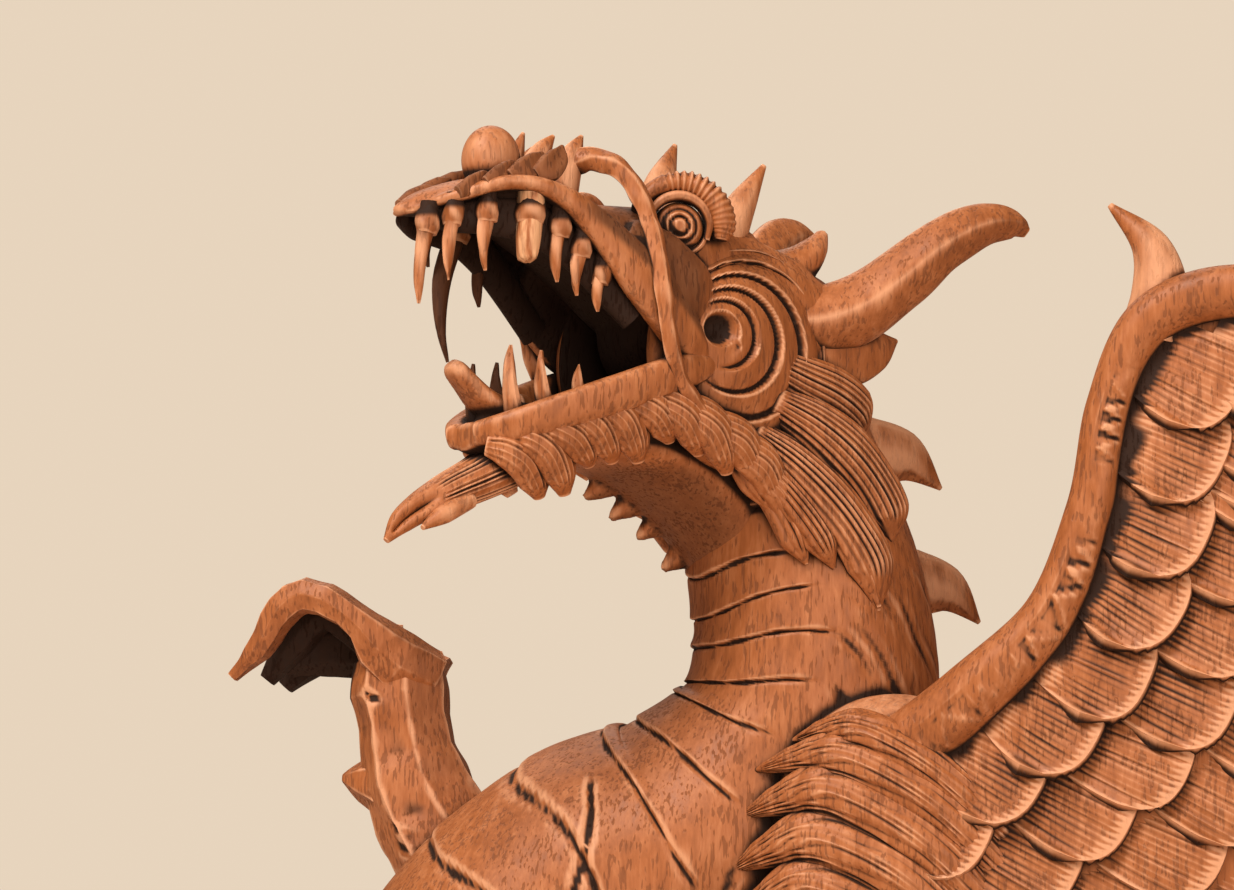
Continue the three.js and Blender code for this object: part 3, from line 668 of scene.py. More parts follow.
# Nose knob, nostril flares and the row of small leaf scales along the top of the lip.
knob = lump((75.5, 0, 27.6), (7.2, 6.6, 8.4), 36, 28)
flares = []
for side in both_sides:
    height = 34 if side > 0 else 36.5
    flares.append(head_drawn(
        [(69.5, 4.6, 19), (67, 5.5, 26), (64.6, 6, 30.5), (62, 6.5, height)],
        [(2.8, 4.6), (2.6, 4), (1.9, 2.6), (0.4, 0.5)], (1, 0, 0), side, around=16, along=20, power=1.5))
    flares.append(head_drawn(
        [(61.5, 9, 18), (60, 9.5, 26), (58.6, 10, 30), (56.6, 10.5, 34)],
        [(3.4, 4.4), (3.1, 4), (2.3, 2.8), (0.4, 0.5)], (1, 0, 0), side, around=16, along=20, power=1.5))


def dished(at, turn, x, y, size):
    """A shallow gouge cut down the middle of a leaf scale"""
    return -1.3 * ramp(np.sin(turn), 0.25, 0.8) * np.sin(math.pi * at) ** 0.8 * (1 - (x / size[:, 0]) ** 2)


scales = []
for side in both_sides:
    for n, (a, b, c, long, half) in enumerate((
        (88, 12.8, 20.4, 9, 2.5), (82, 15.4, 22.6, 9, 2.9),
        (76.5, 17.4, 24.2, 9, 3.3), (71, 18.6, 25.2, 7.6, 3.3),
    )):
        scales.append(head_drawn(
            [(a + long * 0.55, b, c - 3.5), (a + long * 0.1, b + 0.6, c - 1.5),
             (a - long * 0.3, b, c + 0.6 + n * 0.3), (a - long * 0.5, b - 0.8, c + 1.6 + n * 0.9)],
            [(half * 0.6, 1.5), (half, 2.2), (half * 0.8, 1.8), (0.5, 0.5)], (0, 1, 0.25), side,
            around=24, along=24, power=2, relief=dished))
        # painted shade: the leaf scales are painted darker, as the shade on their faces that turn down
        paint_shade_on(scales[-1], 0.42 * np.ones(len(scales[-1].data.vertices)))
nose = joined([knob, *flares, *scales], "nose_and_lip_scales")
kept(nose)

# Teeth, each cut free between the lip and its own rounded gum. The left long fang has snapped to a stump
# that shows paler, splintered wood.
tooth_radius = 2.3
upper_teeth = {
    1: [
        ((97.5, 7, 11), (100.5, 8, -9), 1),
        ((92.6, 10.5, 13), (94.5, 11.5, -3.5), 0.9),
        ((85.5, 14, 14), (86.5, 14.5, -1), 0.95),
        ((68.7, 19, 11), (69.8, 19.5, -3), 1),
        ((63.5, 20.5, 6.5), (65.3, 21, -6), 0.95),
        ((58.5, 21.5, 0.5), (60, 22, -9.5), 0.85),
    ],
    -1: [
        ((84, 13, 14), (84.5, 13.5, 3), 0.8),
        ((76, 14.5, 13), (79.5, 12.5, -19.5), 1.25, 3.2),
        ((66, 18, 9), (67.5, 17.5, -5), 1, 1.0),
        ((57, 20, 2), (56, 19.5, -5), 0.9, 0.5),
    ],
}
lower_teeth = [
    ((74, 8.5, -35), (75.3, 8.5, -17), 1.2, 1),
    ((67, 11, -32), (68, 10.5, -18), 1, 1),
    ((58, 13, -30), (58.8, 12.6, -21), 0.8, 1),
    ((74, 8, -35), (75, 8, -20), 1, -1),
    ((66, 10, -32), (67, 10, -19), 1, -1),
]
broken_fang = ((75.5, 17, 14), (76.8, 17.5, 1.2), 1.35)


def tooth(base, tip, girth, bow=0.8, side=1):
    base, tip = np.array(base, float), np.array(tip, float)
    root = base - unit(tip - base) * 4
    r = tooth_radius * girth
    return head_drawn(
        [root, base, base * 0.6 + tip * 0.4 + (bow, 0, 0), base * 0.25 + tip * 0.75 + (bow * 0.8, 0, 0), tip],
        [(r * 1.05, r), (r, r * 0.95), (r * 0.9, r * 0.8), (r * 0.55, r * 0.5), (0.25, 0.25)],
        (1, 0, 0), side, around=14, along=22, power=1.5,
        relief=lambda at, turn, *rest:
            0.16 * np.sin(9 * at + 2 * turn + girth * 40) - 0.12 * np.cos(3 * turn))


def gum(base, tip, girth, bow=0.8, side=1):
    """The low arch of gum at a tooth's root"""
    base, tip = np.array(base, float), np.array(tip, float)
    up = unit(base - tip)
    r = tooth_radius * girth
    return head_drawn(
        [base + up * 3, base + up * 1, base - up * 1.4, base - up * 3.6],
        [(r * 0.8, r * 0.7), (r * 1.15, r * 1.1), (r * 1.28, r * 1.2), (r * 1.0, r * 0.95)],
        (1, 0, 0), side, around=18, along=20, power=2.2,
        relief=lambda at, turn, *rest: 0.25 * np.cos(3 * turn + 5 * at + girth * 30))


teeth = [tooth(*shape, side=side) for side in both_sides for shape in upper_teeth[side]]
teeth += [tooth(base, tip, girth, side=side) for base, tip, girth, side in lower_teeth]
# painted shade: each tooth is painted darker towards its root, and the teeth on the far side darker still, as
# the shade in the mouth
for grown in teeth:
    height = vertices_of(grown)[:, 2] / MM
    share = (height - height.min()) / np.ptp(height)
    points_down = height.mean() > head_place[2] - 10
    from_root = 1 - share if points_down else share
    far_side = head_axes[1] @ (vertices_of(grown).mean(0) / MM - head_place) < 0
    paint_shade_on(grown, np.maximum(0.75 * (1 - ramp(from_root, 0.1, 0.55)), 0.62 if far_side else 0.1))
kept(joined(teeth, "teeth"))
gums = [gum(*shape, side=side) for side in both_sides for shape in upper_teeth[side]] + [gum(*broken_fang)]
# painted shade: each gum is painted darker towards its top, up in the shade of the lip
for collar in gums:
    height = vertices_of(collar)[:, 2] / MM
    share = (height - height.min()) / np.ptp(height)
    paint_shade_on(collar, 0.25 + 0.75 * ramp(share, 0.5, 0.85))
kept(joined(gums, "gums"))
ridges = head_pair(
    [(98, 3.5, 12), (92, 8, 11.5), (85, 11.5, 12), (76, 14.5, 11.5), (69, 16.5, 8.5),
     (63, 18, 4), (57, 19.2, -2), (49, 21, -10)],
    [(2, 1.6), (3.2, 1.8), (4.2, 2), (5, 2), (5, 2.2), (4.6, 2.4), (4.2, 2.4), (4, 2.4)],
    around=20, along=50)
gum_ridges = joined(ridges, "gum_ridges")
# painted shade: the ridges inside the lips are painted nearly black, as the shade inside the mouth
paint_shade_on(gum_ridges, 0.9 * np.ones(len(gum_ridges.data.vertices)))
kept(gum_ridges)
base, tip, girth = broken_fang
stump_radius = tooth_radius * girth
stump = head_drawn(
    [(base[0], base[1], base[2] + 4), base, (76.4, 17.3, 6), (76.8, 17.5, 2.2), tip],
    stump_radius * np.array([(1.1, 1), (1.1, 1), (1, 0.9), (0.95, 0.7), (0.3, 0.25)]),
    (1, 0, 0), 1, around=48, along=48,
    relief=lambda at, turn, *rest:
        -ramp(at, 0.45, 1) * (0.45 + 0.45 * np.sin(4 * turn + 13 * at) * np.sin(7 * turn)),
)
stump.name = "broken_fang_stump"
kept(stump)

# Eyes: a ball with two rings turned into it, a dark hollow under a plain lid, and a brow cut like a fan.
eye_centre = np.array([35.5, 20.2, 12.6])
eye_look = unit(np.array([0.5, 0.86, -0.02]))
eye_across = unit(np.array([-0.86, 0.5, 0.0]))
eye_up = np.array([0.0, 0.0, 1.0])
eye_radius, eye_ring_radii, eye_ring_depths, eye_ring_half = 6, (2.2, 4.0), (1.1, 1.0), 0.5


def side_word(side):
    return "left" if side > 0 else "right"


def by_eye(radius, degrees, out):
    """A place around the eye: degrees run from the back, over the top, to the front"""
    q = math.radians(degrees)
    return eye_centre + eye_across * radius * math.cos(q) + eye_up * radius * math.sin(q) + eye_look * out


for side in both_sides:
    ball = lump(eye_centre, [eye_radius] * 3, 56, 56)
    local = (vertices_of(ball) / MM - head_place) @ head_axes.T - eye_centre
    level = local @ eye_look
    around_eye = np.linalg.norm(local - level[:, None] * eye_look, axis=1)
    rings = -sum(
        depth * np.exp(-((around_eye - radius) / eye_ring_half) ** 2)
        for radius, depth in zip(eye_ring_radii, eye_ring_depths))
    flatter = np.where(level > 0, -0.25 * level, 0)
    local = local + eye_look * (flatter + np.where(level > 0, rings, 0))[:, None] + eye_centre
    set_vertices(ball, on_head(local, side) * MM)
    if side < 0:
        turned_out()
    upper_lid = head_drawn(
        [by_eye(7.4, q, 1.2) for q in (-25, 10, 45, 80, 115, 150, 185)],
        [(0.7, 0.8), (1.1, 2.0), (1.3, 2.6), (1.4, 2.8), (1.3, 2.6), (1.1, 2.2), (0.7, 1)],
        eye_look, side, around=16, along=50, power=2.6)
    lower_lid = head_drawn(
        [by_eye(6.9, q, 0.6) for q in (200, 230, 260, 290, 320, 345)],
        [(0.5, 0.6), (0.8, 1.6), (0.9, 1.8), (0.9, 1.8), (0.8, 1.6), (0.5, 0.6)],
        eye_look, side, around=12, along=36)

    def fan_cut(at, turn, x, y, size):
        lines = comb(at * 62, 2.5, 0.9, 0.4) * ramp(np.sin(turn), -0.5, 0.1) * (1 - ramp(at, 0.6, 0.7))
        outer_edge = ramp(x / size[:, 0] * side * -1, 0.2, 1.0)
        return lines * (0.35 + 0.65 * ramp(at, 0.25, 0.4)) * (0.55 + 0.6 * outer_edge)

    brow = head_drawn(
        [by_eye(10.6, q, 0.2) for q in (-16, 2, 25, 50, 75, 100, 125, 150, 170)],
        [(2, 2.4), (3.4, 3.4), (3.6, 4), (3.6, 4.2), (3.4, 4), (2.8, 3.6), (2.2, 3.2), (1.8, 2.6), (1, 1.2)],
        eye_look, side, around=28, along=140, relief=fan_cut)
    if side > 0:
        horn_route = [(20, 16, 9), (17, 16.2, 15), (12.5, 16.6, 22.5), (7.3, 17, 30.5)]
        horn_sizes = [(5, 6), (4.4, 5.2), (2.9, 3.3), (0.6, 0.7)]
    else:
        horn_route = [(20, 12, 12), (18, 13.5, 21), (14.6, 15.5, 30), (9.4, 17, 40)]
        horn_sizes = [(7.5, 8.5), (6.4, 7.4), (3.8, 4.6), (0.6, 0.7)]
    brow_horn = head_drawn(horn_route, horn_sizes, (0, 0, 1), side, around=20, along=30, power=1.8)
    kept(joined([ball, upper_lid, lower_lid, brow, brow_horn], side_word(side) + "_eye_and_brow"))

# Cheeks: a dome behind the corner of the mouth, cut into crescents that open to the front. Each band is
# nearly flat and ends in a thin dark undercut, and the smallest one rings a round hollow.
cheek_rings = np.array([  # centre (forward, up) and radius of each cut
    (28.5, -11.5, 0), (28, -12, 4.2), (26.5, -13, 8.2), (24, -14.4, 12.6),
    (21, -15.6, 17.4), (18, -16.8, 22), (16.4, -17.6, 25.6), (16, -18, 28),
])
cheek_centre, cheek_halves = np.array([16.5, 0, -17.5]), np.array([27, 27, 28])
cheek_out, cheek_bulge, cheek_back = 18.5, 9.6, 2
halvings = 14
for side in both_sides:
    dome = lump(cheek_centre, cheek_halves, *((220, 130) if side > 0 else (120, 72)))
    # the poles of the ball are laid along the way out, so that its rows follow the cuts
    local = (vertices_of(dome) / MM - head_place) @ head_axes.T
    local = (local - cheek_centre) / cheek_halves
    a = cheek_centre[0] + local[:, 0] * cheek_halves[0]
    b = local[:, 2]
    c = cheek_centre[2] + local[:, 1] * cheek_halves[2]
    place = np.column_stack([a, c])
    ring_number = np.full(len(a), float(len(cheek_rings)) - 1)
    for k in range(len(cheek_rings) - 1, 0, -1):
        inner, outer = cheek_rings[k - 1], cheek_rings[k]
        low_share, high_share = np.zeros(len(a)), np.ones(len(a))
        for _ in range(halvings):
            middle = (low_share + high_share) / 2
            centre = inner[:2] + (outer[:2] - inner[:2]) * middle[:, None]
            radius = inner[2] + (outer[2] - inner[2]) * middle
            outside_ring = np.linalg.norm(place - centre, axis=1) > radius
            low_share = np.where(outside_ring, middle, low_share)
            high_share = np.where(outside_ring, high_share, middle)
        within_outer = np.linalg.norm(place - outer[:2], axis=1) <= outer[2]
        ring_number = np.where(within_outer, k - 1 + (low_share + high_share) / 2, ring_number)
    within = ring_number - np.floor(ring_number)
    bearing = np.degrees(np.arctan2(c + 16, 23 - a))
    open_front = ramp(np.abs(bearing), 95, 150)
    band = 1.3 * (1 - within) ** 1.3 * ramp(within, 0, 0.14) - 0.9 * np.exp(-((within - 0.93) / 0.09) ** 2)
    cup = np.where(ring_number < 1.0, -3.6 * (1 - ring_number**2), 0)
    relief = np.where(ring_number >= 1, band * (1 - open_front), 0) + cup
    out = cheek_out + np.where(b > 0, cheek_bulge, cheek_back) * b
    out = out + np.where(b > 0, relief * ramp(b, 0.02, 0.2), 0)
    set_vertices(dome, on_head(np.column_stack([a, out, c]), side) * MM)
    turned_out()
    # painted shade: the back of the dome and the round hollow in the middle of the cuts are painted dark
    paint_shade_on(dome, np.maximum(b < -0.02, 0.85 * ((ring_number < 0.8) & (b > 0))))
    dome.name = side_word(side) + "_cheek"
    kept(dome)

# Horns swept back from behind the cheeks, and a leaf-shaped ear below each.
for side in both_sides:
    rise = 0 if side > 0 else 6
    horn = head_drawn(
        [(6, 12, -6), (-5, 19, -7.5), (-14, 25, -4.5), (-24, 31, 3.5 + rise / 2),
         (-33, 36, 12 + rise), (-43, 40, 17.5 + rise), (-51, 42, 18 + rise), (-54.5, 42.5, 16.5 + rise)],
        [(10, 10), (9.2, 9.5), (8, 8.5), (7, 7.6), (6, 6.6), (5, 5.4), (3.4, 3.6), (1.4, 1.5)],
        (0, 0, 1), side, around=44, along=90, power=1.55,
        relief=lambda at, turn, *rest: 0.15 * np.cos(3 * turn + 4 * at) + 0.1 * np.sin(37 * at + 2 * turn))
    ear = head_drawn(
        [(2, 19, -17), (-6, 22.5, -16), (-15, 24, -15), (-23, 23.6, -13), (-29.5, 22, -10.5)],
        [(6, 3), (7.6, 3.6), (7.4, 3.4), (5, 2.4), (0.7, 0.7)],
        (0, 1, 0), side, around=44, along=50, power=1.7,
        relief=lambda at, turn, x, y, size:
            -1.2 * ramp(np.sin(turn), 0.3, 0.9) * np.sin(math.pi * at) * np.cos(x / size[:, 0] * 1.2))
    kept(joined([horn, ear], side_word(side) + "_horn_and_ear"))

# Lower jaw with its square-edged lip, the gum that curls up in front, the throat and the forked chin beard.
jaw = head_drawn(
    [(14, 0, -27), (32, 0, -31), (46, 0, -34), (60, 0, -37), (73, 0, -38.5), (83, 0, -38.5)],
    [(23, 10), (23.5, 9), (21.5, 7.5), (18, 6.5), (12, 5), (5, 3.4)], around=40, along=50)
throat = head_drawn(
    [(50, 0, -38), (38, 0, -40), (28, 0, -43), (11, 0, -52), (-8, 0, -69)],
    [(17, 5), (19, 7), (19, 9), (19, 12), (19.5, 16)], around=40, along=40)
throat_barbs = [
    head_drawn([(tip[0] - 12, -7, tip[1] + 9), (tip[0] - 5, -9, tip[1] + 4), (tip[0], -11, tip[1])],
               [(5, 4), (4, 3), (1, 1)], (0, 1, 0), around=20, along=20)
    for tip in ((41, -50.5), (33.5, -55), (25.5, -59.5), (18, -67), (9, -76))
]
lower_lips = head_pair(
    [(29, 25, -20.5), (38, 25.8, -22.5), (55, 23.5, -28.5), (69, 17.5, -33.5), (77, 11, -36.5),
     (82, 4, -38)],
    [(2.4, 1.8), (4.4, 2.8), (4.6, 3), (4.2, 3), (3.8, 3), (3, 2.8)],
    around=28, along=60, power=3.2)
curl = head_drawn(
    [(56, 0, -34), (66, 0, -33.5), (73, 0, -32), (78, 0, -29.5), (82, 0, -26),
     (85.5, 0, -22.5), (86.6, 0, -21)],
    [(12, 4), (10, 3.8), (8, 3.4), (6, 3), (4.6, 2.7), (3.6, 2.5), (1.8, 1.6)], around=28, along=40)
jaw_core = fused([jaw, throat, *throat_barbs, *lower_lips, curl], "lower_jaw", 0.86, smoothing=2)
# painted shade: the inside of the mouth and the faces of the throat that turn down are painted dark, as the
# shade that falls there
a, b, c = head_local(jaw_core)
inner_wall = np.interp(a, (20, 38, 55, 69, 76), (22, 23, 20.5, 14, 8))
tongue = np.interp(a, (14, 32, 46, 60, 70, 78), (-26, -30, -33, -35.5, -37, -39))
in_mouth = ramp(inner_wall - b, 0, 1.5) * ramp(c - tongue, 0, 2) * ramp(76 - a, 0, 8)
under_jaw = 0.45 * ramp(-normals_of(jaw_core)[:, 2], 0.1, 0.7) * ramp(-c, 40, 46)
paint_shade_on(jaw_core, np.maximum(in_mouth, under_jaw))
kept(jaw_core)

beard = head_drawn(
    [(62, 0, -40), (72, 0, -44.5), (80, 0, -48.5), (88, 0, -52), (95, 0, -55.5),
     (100, 0, -59), (104, 0, -63.5)],
    [(11, 5), (10, 6), (8, 5.4), (6, 4.6), (4.4, 3.6), (3, 2.8), (0.7, 0.8)], around=64, along=80, power=2.2,
    relief=lambda at, turn, x, y, size: comb(turn * 9, 2.0, 0.6) * (1 - ramp(at, 0.5, 0.62))
    - 3.0 * np.exp(-((turn - 0.35) / 0.42) ** 2) * ramp(at, 0.5, 0.7) * (1 - ramp(at, 0.88, 0.96)))
prong = head_drawn(
    [(84, 3, -53), (91, 4, -57), (97, 4.5, -60.5)], [(3.4, 2.8), (3, 2.4), (0.6, 0.6)], around=20, along=24)
kept(joined([beard, prong], "chin_beard"))

# Combed tufts along the lower jaw, each a leaf that points back and down over the next one.
tuft_roots = [
    (76, 9.5, -41.5), (67, 15.5, -36.5), (57.5, 19.5, -31.5), (44, 23.5, -30),
    (31, 26, -34), (18, 26, -42), (8, 25, -51),
]


def leaf_comb(spacing, depth):
    def combed(at, turn, x, y, size):
        spread = x / size[:, 0]
        count = np.round(2 * size[:, 0].max() / spacing)
        lines = comb(spread * count / 2, 1.0, depth, 0.36)
        return lines * ramp(np.sin(turn), -0.1, 0.3) * ramp(at, 0.0, 0.08) * (1 - ramp(at, 0.8, 0.92))
    return combed


tufts = []
for side in both_sides:
    count = 12 if side > 0 else 8
    for n in range(0 if side > 0 else 1, count):
        a, b, c = through(tuft_roots, [n / (count - 1)])[0]
        droop = 0.9 + 0.2 * math.sin(n * 2.1)
        tufts.append(head_drawn(
            [(a + 5, b - 2, c + 1.5), (a + 2, b + 0.8, c + 0.6), (a - 2.5, b + 1.8, c - 2.5 * droop),
             (a - 6, b + 1.2, c - 7.5 * droop), (a - 8.5, b - 0.6, c - 12 * droop)],
            [(3.4, 1.8), (5, 2.8), (5.4, 3.6), (4.6, 3.2), (1.6, 1.4)],
            (0, 1, 0), side, around=56 if side > 0 else 28, along=30, power=1.9, relief=leaf_comb(1.5, 0.38)))
kept(joined(tufts, "jaw_tufts"))

# The mane behind the cheeks: long combed locks that sweep down the neck, and the whiskers that run
# with them. The neck lies to the head's left, so what runs down it on the right is moved over with it.


def onto_neck(points, side):
    points = np.array(points, float)
    shift = 12 * np.clip((-points[:, 2] - 25) / 40, 0, 1)
    if side < 0:
        points[:, 1] -= shift
    return points


locks = [  # route, half width, half depth
    ([(12, 22, -18), (4, 25.5, -22), (-6, 26.8, -26), (-13, 26, -30), (-18, 24.5, -34.5)], 7.4, 3.2),
    ([(10, 24, -28), (2, 28.5, -33), (-6, 30.5, -39), (-13, 31, -46), (-18, 31.5, -54),
      (-19.5, 32, -61)], 7.6, 3.6),
    ([(16, 23, -36), (8, 27, -42), (0, 30.5, -50), (-6, 33, -58), (-11, 34.5, -67),
      (-12.5, 35.5, -78)], 6.8, 3.6),
    ([(22, 22.5, -38), (14, 26, -45), (7, 29, -53), (1.5, 31, -61), (-2, 32, -68)], 4.6, 3.2),
    ([(14, 22, -46), (10, 25.5, -53), (6.5, 27.5, -60), (4, 29, -67)], 4.6, 3),
    ([(20, 21, -40), (17, 24.5, -47), (13, 26, -54)], 4.4, 3),
]
mane = []
for side in both_sides:
    for route, half, deep in locks if side > 0 else locks[:4]:
        count = len(route)
        sizes = [(half * min(1, 0.6 + 0.25 * i), deep + 0.6) for i in range(count - 1)] + [(0.6, 0.6)]
        mane.append(head_drawn(
            onto_neck(route, side), sizes, (0, 1, 0), side,
            around=76 if side > 0 else 32, along=54 if side > 0 else 36, power=1.9,
            relief=leaf_comb(1.7, 0.6)))
kept(joined(mane, "mane"))

whisker_route = [
    (60, 9, 27), (56, 13.5, 28), (51.5, 18.5, 25.5), (48.5, 22.5, 19),
    (47, 25, 12), (46.5, 28, 3), (46, 29.5, -7), (44, 29, -16),
    (40, 28, -25), (34, 28, -32), (25, 26.5, -38.5), (12, 27.5, -45.5),
    (4.5, 30.5, -52), (-3, 33.5, -60), (-9, 36, -70), (-12, 36.5, -77),
]
whiskers = []
for side in both_sides:
    sizes = [(3.2 - 0.13 * i, 2.4 - 0.06 * i) for i in range(len(whisker_route) - 1)] + [(0.6, 0.6)]
    whiskers.append(head_drawn(
        onto_neck(whisker_route, side), sizes, (0, 1, 0), side, around=24, along=150, power=1.35,
        relief=lambda at, turn, x, y, size: 0.12 * np.sin(70 * at) + 0.1 * np.sin(113 * at + turn)))
kept(joined(whiskers, "whiskers"))

# Shoulders: a rounded mass on each side where the arm and the wing spring, covered with flame locks that
# were combed with a coarse gouge; their high places are painted paler, as rubbed wear and a painted
# highlight.
shoulder_locks = [  # tip, over the shoulder, and end under the feathers as (x, z), half width
    ((13, 196), (30, 198), (46, 190), (64, 174), 5.4),
    ((4, 189), (26, 192), (46, 182), (64, 165), 6.4),
    ((0, 178), (22, 184), (44, 173), (62, 155), 7.0),
    ((-3, 165), (19, 173), (40, 164), (57, 147), 7.2),
    ((-3, 153), (17, 162), (36, 154), (52, 139), 6.8),
    ((1, 143), (18, 152), (33, 145), (46, 132), 6.2),
    ((8, 135), (21, 143), (32, 138), (42, 127), 5.4),
]


def flame_comb(at, turn, x, y, size):
    """Fine gouge lines that run the length of a lock and break up on its crest"""
    line_number = x / size[:, 0] * 3.6 + 0.5 * np.sin(at * 5 + size[0, 0]) + 0.3 * np.sin(x * 1.1 + at * 9)
    lines = comb(line_number, 1.0, 0.42, 0.3)
    line = np.round(line_number)
    broken = 0.2 * np.sin(at * 33 + 4.1 * line) * np.sin(at * 15 + 2.3 * line)
    return (lines + broken) * ramp(np.sin(turn), -0.1, 0.3) * ramp(at, 0, 0.1)


for side in both_sides:
    bpy.ops.object.select_all(action="DESELECT")
    bpy.ops.mesh.primitive_uv_sphere_add(segments=48, ring_count=32)
    mass = bpy.context.object
    set_vertices(mass, (vertices_of(mass) * (31, 18, 31) + (36, -26 * side, 176)) * MM)
    flames = [mass]
    for n, (tip, first, second, end, half) in enumerate(shoulder_locks):
        route = [
            (tip[0], -33 * side, tip[1]),
            ((tip[0] + first[0]) / 2, -38.5 * side, (tip[1] + first[1]) / 2 + 1),
            (first[0], -41.5 * side, first[1]),
            (second[0], -43 * side, second[1]),
            (end[0], -40 * side, end[1]),
        ]
        flames.append(drawn(
            route, [(0.7, 0.8), (half * 0.6, 3.2), (half, 5.2), (half, 5.2), (half * 0.8, 3.4)],
            (0, -side, 0), around=72 if side > 0 else 32, along=76 if side > 0 else 40,
            power=1.7, relief=flame_comb))
    kept(joined(flames, side_word(side) + "_shoulder"))

# The raised right arm, shaped with flat knife cuts: a pointed elbow and a hand hooked forward, its near
# finger a broad plate. The hollow behind it, under the other two fingers, is painted nearly black, as stain
# and painted shade.


def facets_divided(piece, levels=3):
    """Splits the flat facets finer without rounding them, so that the pooled stain, painted shade and painted
    highlight can follow their edges
    """
    bpy.ops.object.select_all(action="DESELECT")
    bpy.context.view_layer.objects.active = piece
    split = piece.modifiers.new("split", "SUBSURF")
    split.subdivision_type, split.levels = "SIMPLE", levels
    bpy.ops.object.modifier_apply(modifier=split.name)
    return piece


def gouged(piece, cuts):
    """V cuts along lines: each cut is (points in mm, half width, depth), deepest along its middle"""
    places, normals = vertices_of(piece) / MM, normals_of(piece)
    sink = np.zeros(len(places))
    for points, half, depth in cuts:
        line = through(points, np.linspace(0, 1, 12 * len(points)))
        low, high = line.min(0) - half, line.max(0) + half
        near = np.nonzero(((places > low) & (places < high)).all(1))[0]
        if not len(near):
            continue
        best = np.full(len(near), 1e9)
        share = np.zeros(len(near))
        for k, (start, end) in enumerate(zip(line[:-1], line[1:])):
            ahead = end - start
            done = np.clip(((places[near] - start) @ ahead) / max(ahead @ ahead, 1e-9), 0, 1)
            gap = np.linalg.norm(places[near] - start - done[:, None] * ahead, axis=1)
            share = np.where(gap < best, (k + done) / (len(line) - 1), share)
            best = np.minimum(best, gap)
        taper = np.clip(np.minimum(share, 1 - share) / 0.18, 0, 1) ** 0.6
        cut_depth = np.clip(1 - best / (half * (0.35 + 0.65 * taper)), 0, 1) * depth * taper
        sink[near] = np.maximum(sink[near], cut_depth)
    set_vertices(piece, (places - normals * sink[:, None]) * MM)


arm_parts = [
    drawn(
        [(-60, 16, 138), (-76, 20, 157), (-88, 22, 172), (-95, 23, 187),
         (-97.5, 23, 199), (-99.5, 23.5, 211), (-98.5, 24, 221)],
        [(17, 19), (15, 15.5), (14, 15), (13.5, 14), (12, 12), (12, 13), (9.5, 9.5)],
        (0.9, 0.36, 0), around=8, along=12, power=3),
    drawn(
        [(-96, 21, 184), (-106, 21, 186), (-113.5, 20, 187)],
        [(11, 11), (7.5, 7.5), (1, 1)], (0, 0, 1), around=6, along=5),
    drawn(
        [(-100, 27, 219), (-118, 27, 221), (-131, 26, 218)],
        [(4, 8), (3, 7.5), (2.5, 5)], (0, 0, 1), around=6, along=6),
    drawn(
        [(-91.5, 22.5, 213), (-99.5, 15.5, 218), (-108.9, 12.8, 228.3), (-121, 12.5, 234),
         (-127.8, 12.8, 229.8), (-133, 13, 221), (-141, 13.5, 213)],
        [(8, 7), (8.2, 6), (3.8, 6), (4.8, 6), (4.2, 5.4), (3.6, 4.6), (1.6, 2)],
        (0, 1, 0), around=8, along=16, power=3),
    drawn(
        [(-92, 24, 213), (-106, 24, 222.5), (-119, 24, 229.5), (-128, 24, 221.5), (-135, 24, 212.5)],
        [(7, 6), (6.4, 6), (5, 5.4), (4.6, 4.6), (2.2, 2)], (0, 1, 0), around=8, along=10, power=3),
    drawn(
        [(-92, 35, 212), (-106, 35, 219), (-119, 34.5, 223.5), (-127, 34, 217), (-133, 34, 211)],
        [(7, 6), (6, 6), (5.2, 5.2), (4.8, 4.4), (2.2, 2)], (0, 1, 0), around=8, along=10, power=3),
]
for part in arm_parts:
    facets_divided(part)
right_arm = joined(arm_parts, "right_arm")
places = vertices_of(right_arm) / MM
set_vertices(right_arm, (places + (0.35 * waves(places, 17, 12, 2))[:, None] * normals_of(right_arm)) * MM)
gouged(right_arm, [
    ([(-98, 9, 176), (-94, 8, 173), (-90, 8, 171)], 1.4, 1.2),
    ([(-96, 9, 170.5), (-91, 7.5, 168), (-86, 7, 167.5)], 1.5, 1.3),
    ([(-92, 8, 165), (-87, 7, 163), (-83, 6.5, 163)], 1.3, 1.1),
    ([(-100, 10, 181), (-95, 9, 178.5)], 1.0, 0.8),
    ([(-106, 11, 209.5), (-103.5, 10.5, 207.5), (-101, 10.5, 208)], 1.3, 1.8),
])
# painted shade: the hollow under the fingers, the far side of the forearm and the faces that turn down are
# painted dark; the hollow also holds dark stain
places, normals = vertices_of(right_arm) / MM, normals_of(right_arm)
in_hollow = ramp(places[:, 2], 204, 208) * ramp(places[:, 1], 17.4, 18.4)
in_hollow = in_hollow * ramp(-places[:, 0], 105, 109) * (1 - ramp(places[:, 2], 228, 232))
on_far_side = ramp(normals[:, 0], 0.2, 0.6) * ramp(places[:, 2], 176, 186)
shaded = np.maximum(0.9 * in_hollow * (1 - ramp(normals[:, 2], 0.6, 0.9)), 0.35 * on_far_side)
paint_shade_on(right_arm, np.maximum(shaded, 0.25 * ramp(-normals[:, 2], 0.3, 0.8)))
kept(right_arm)

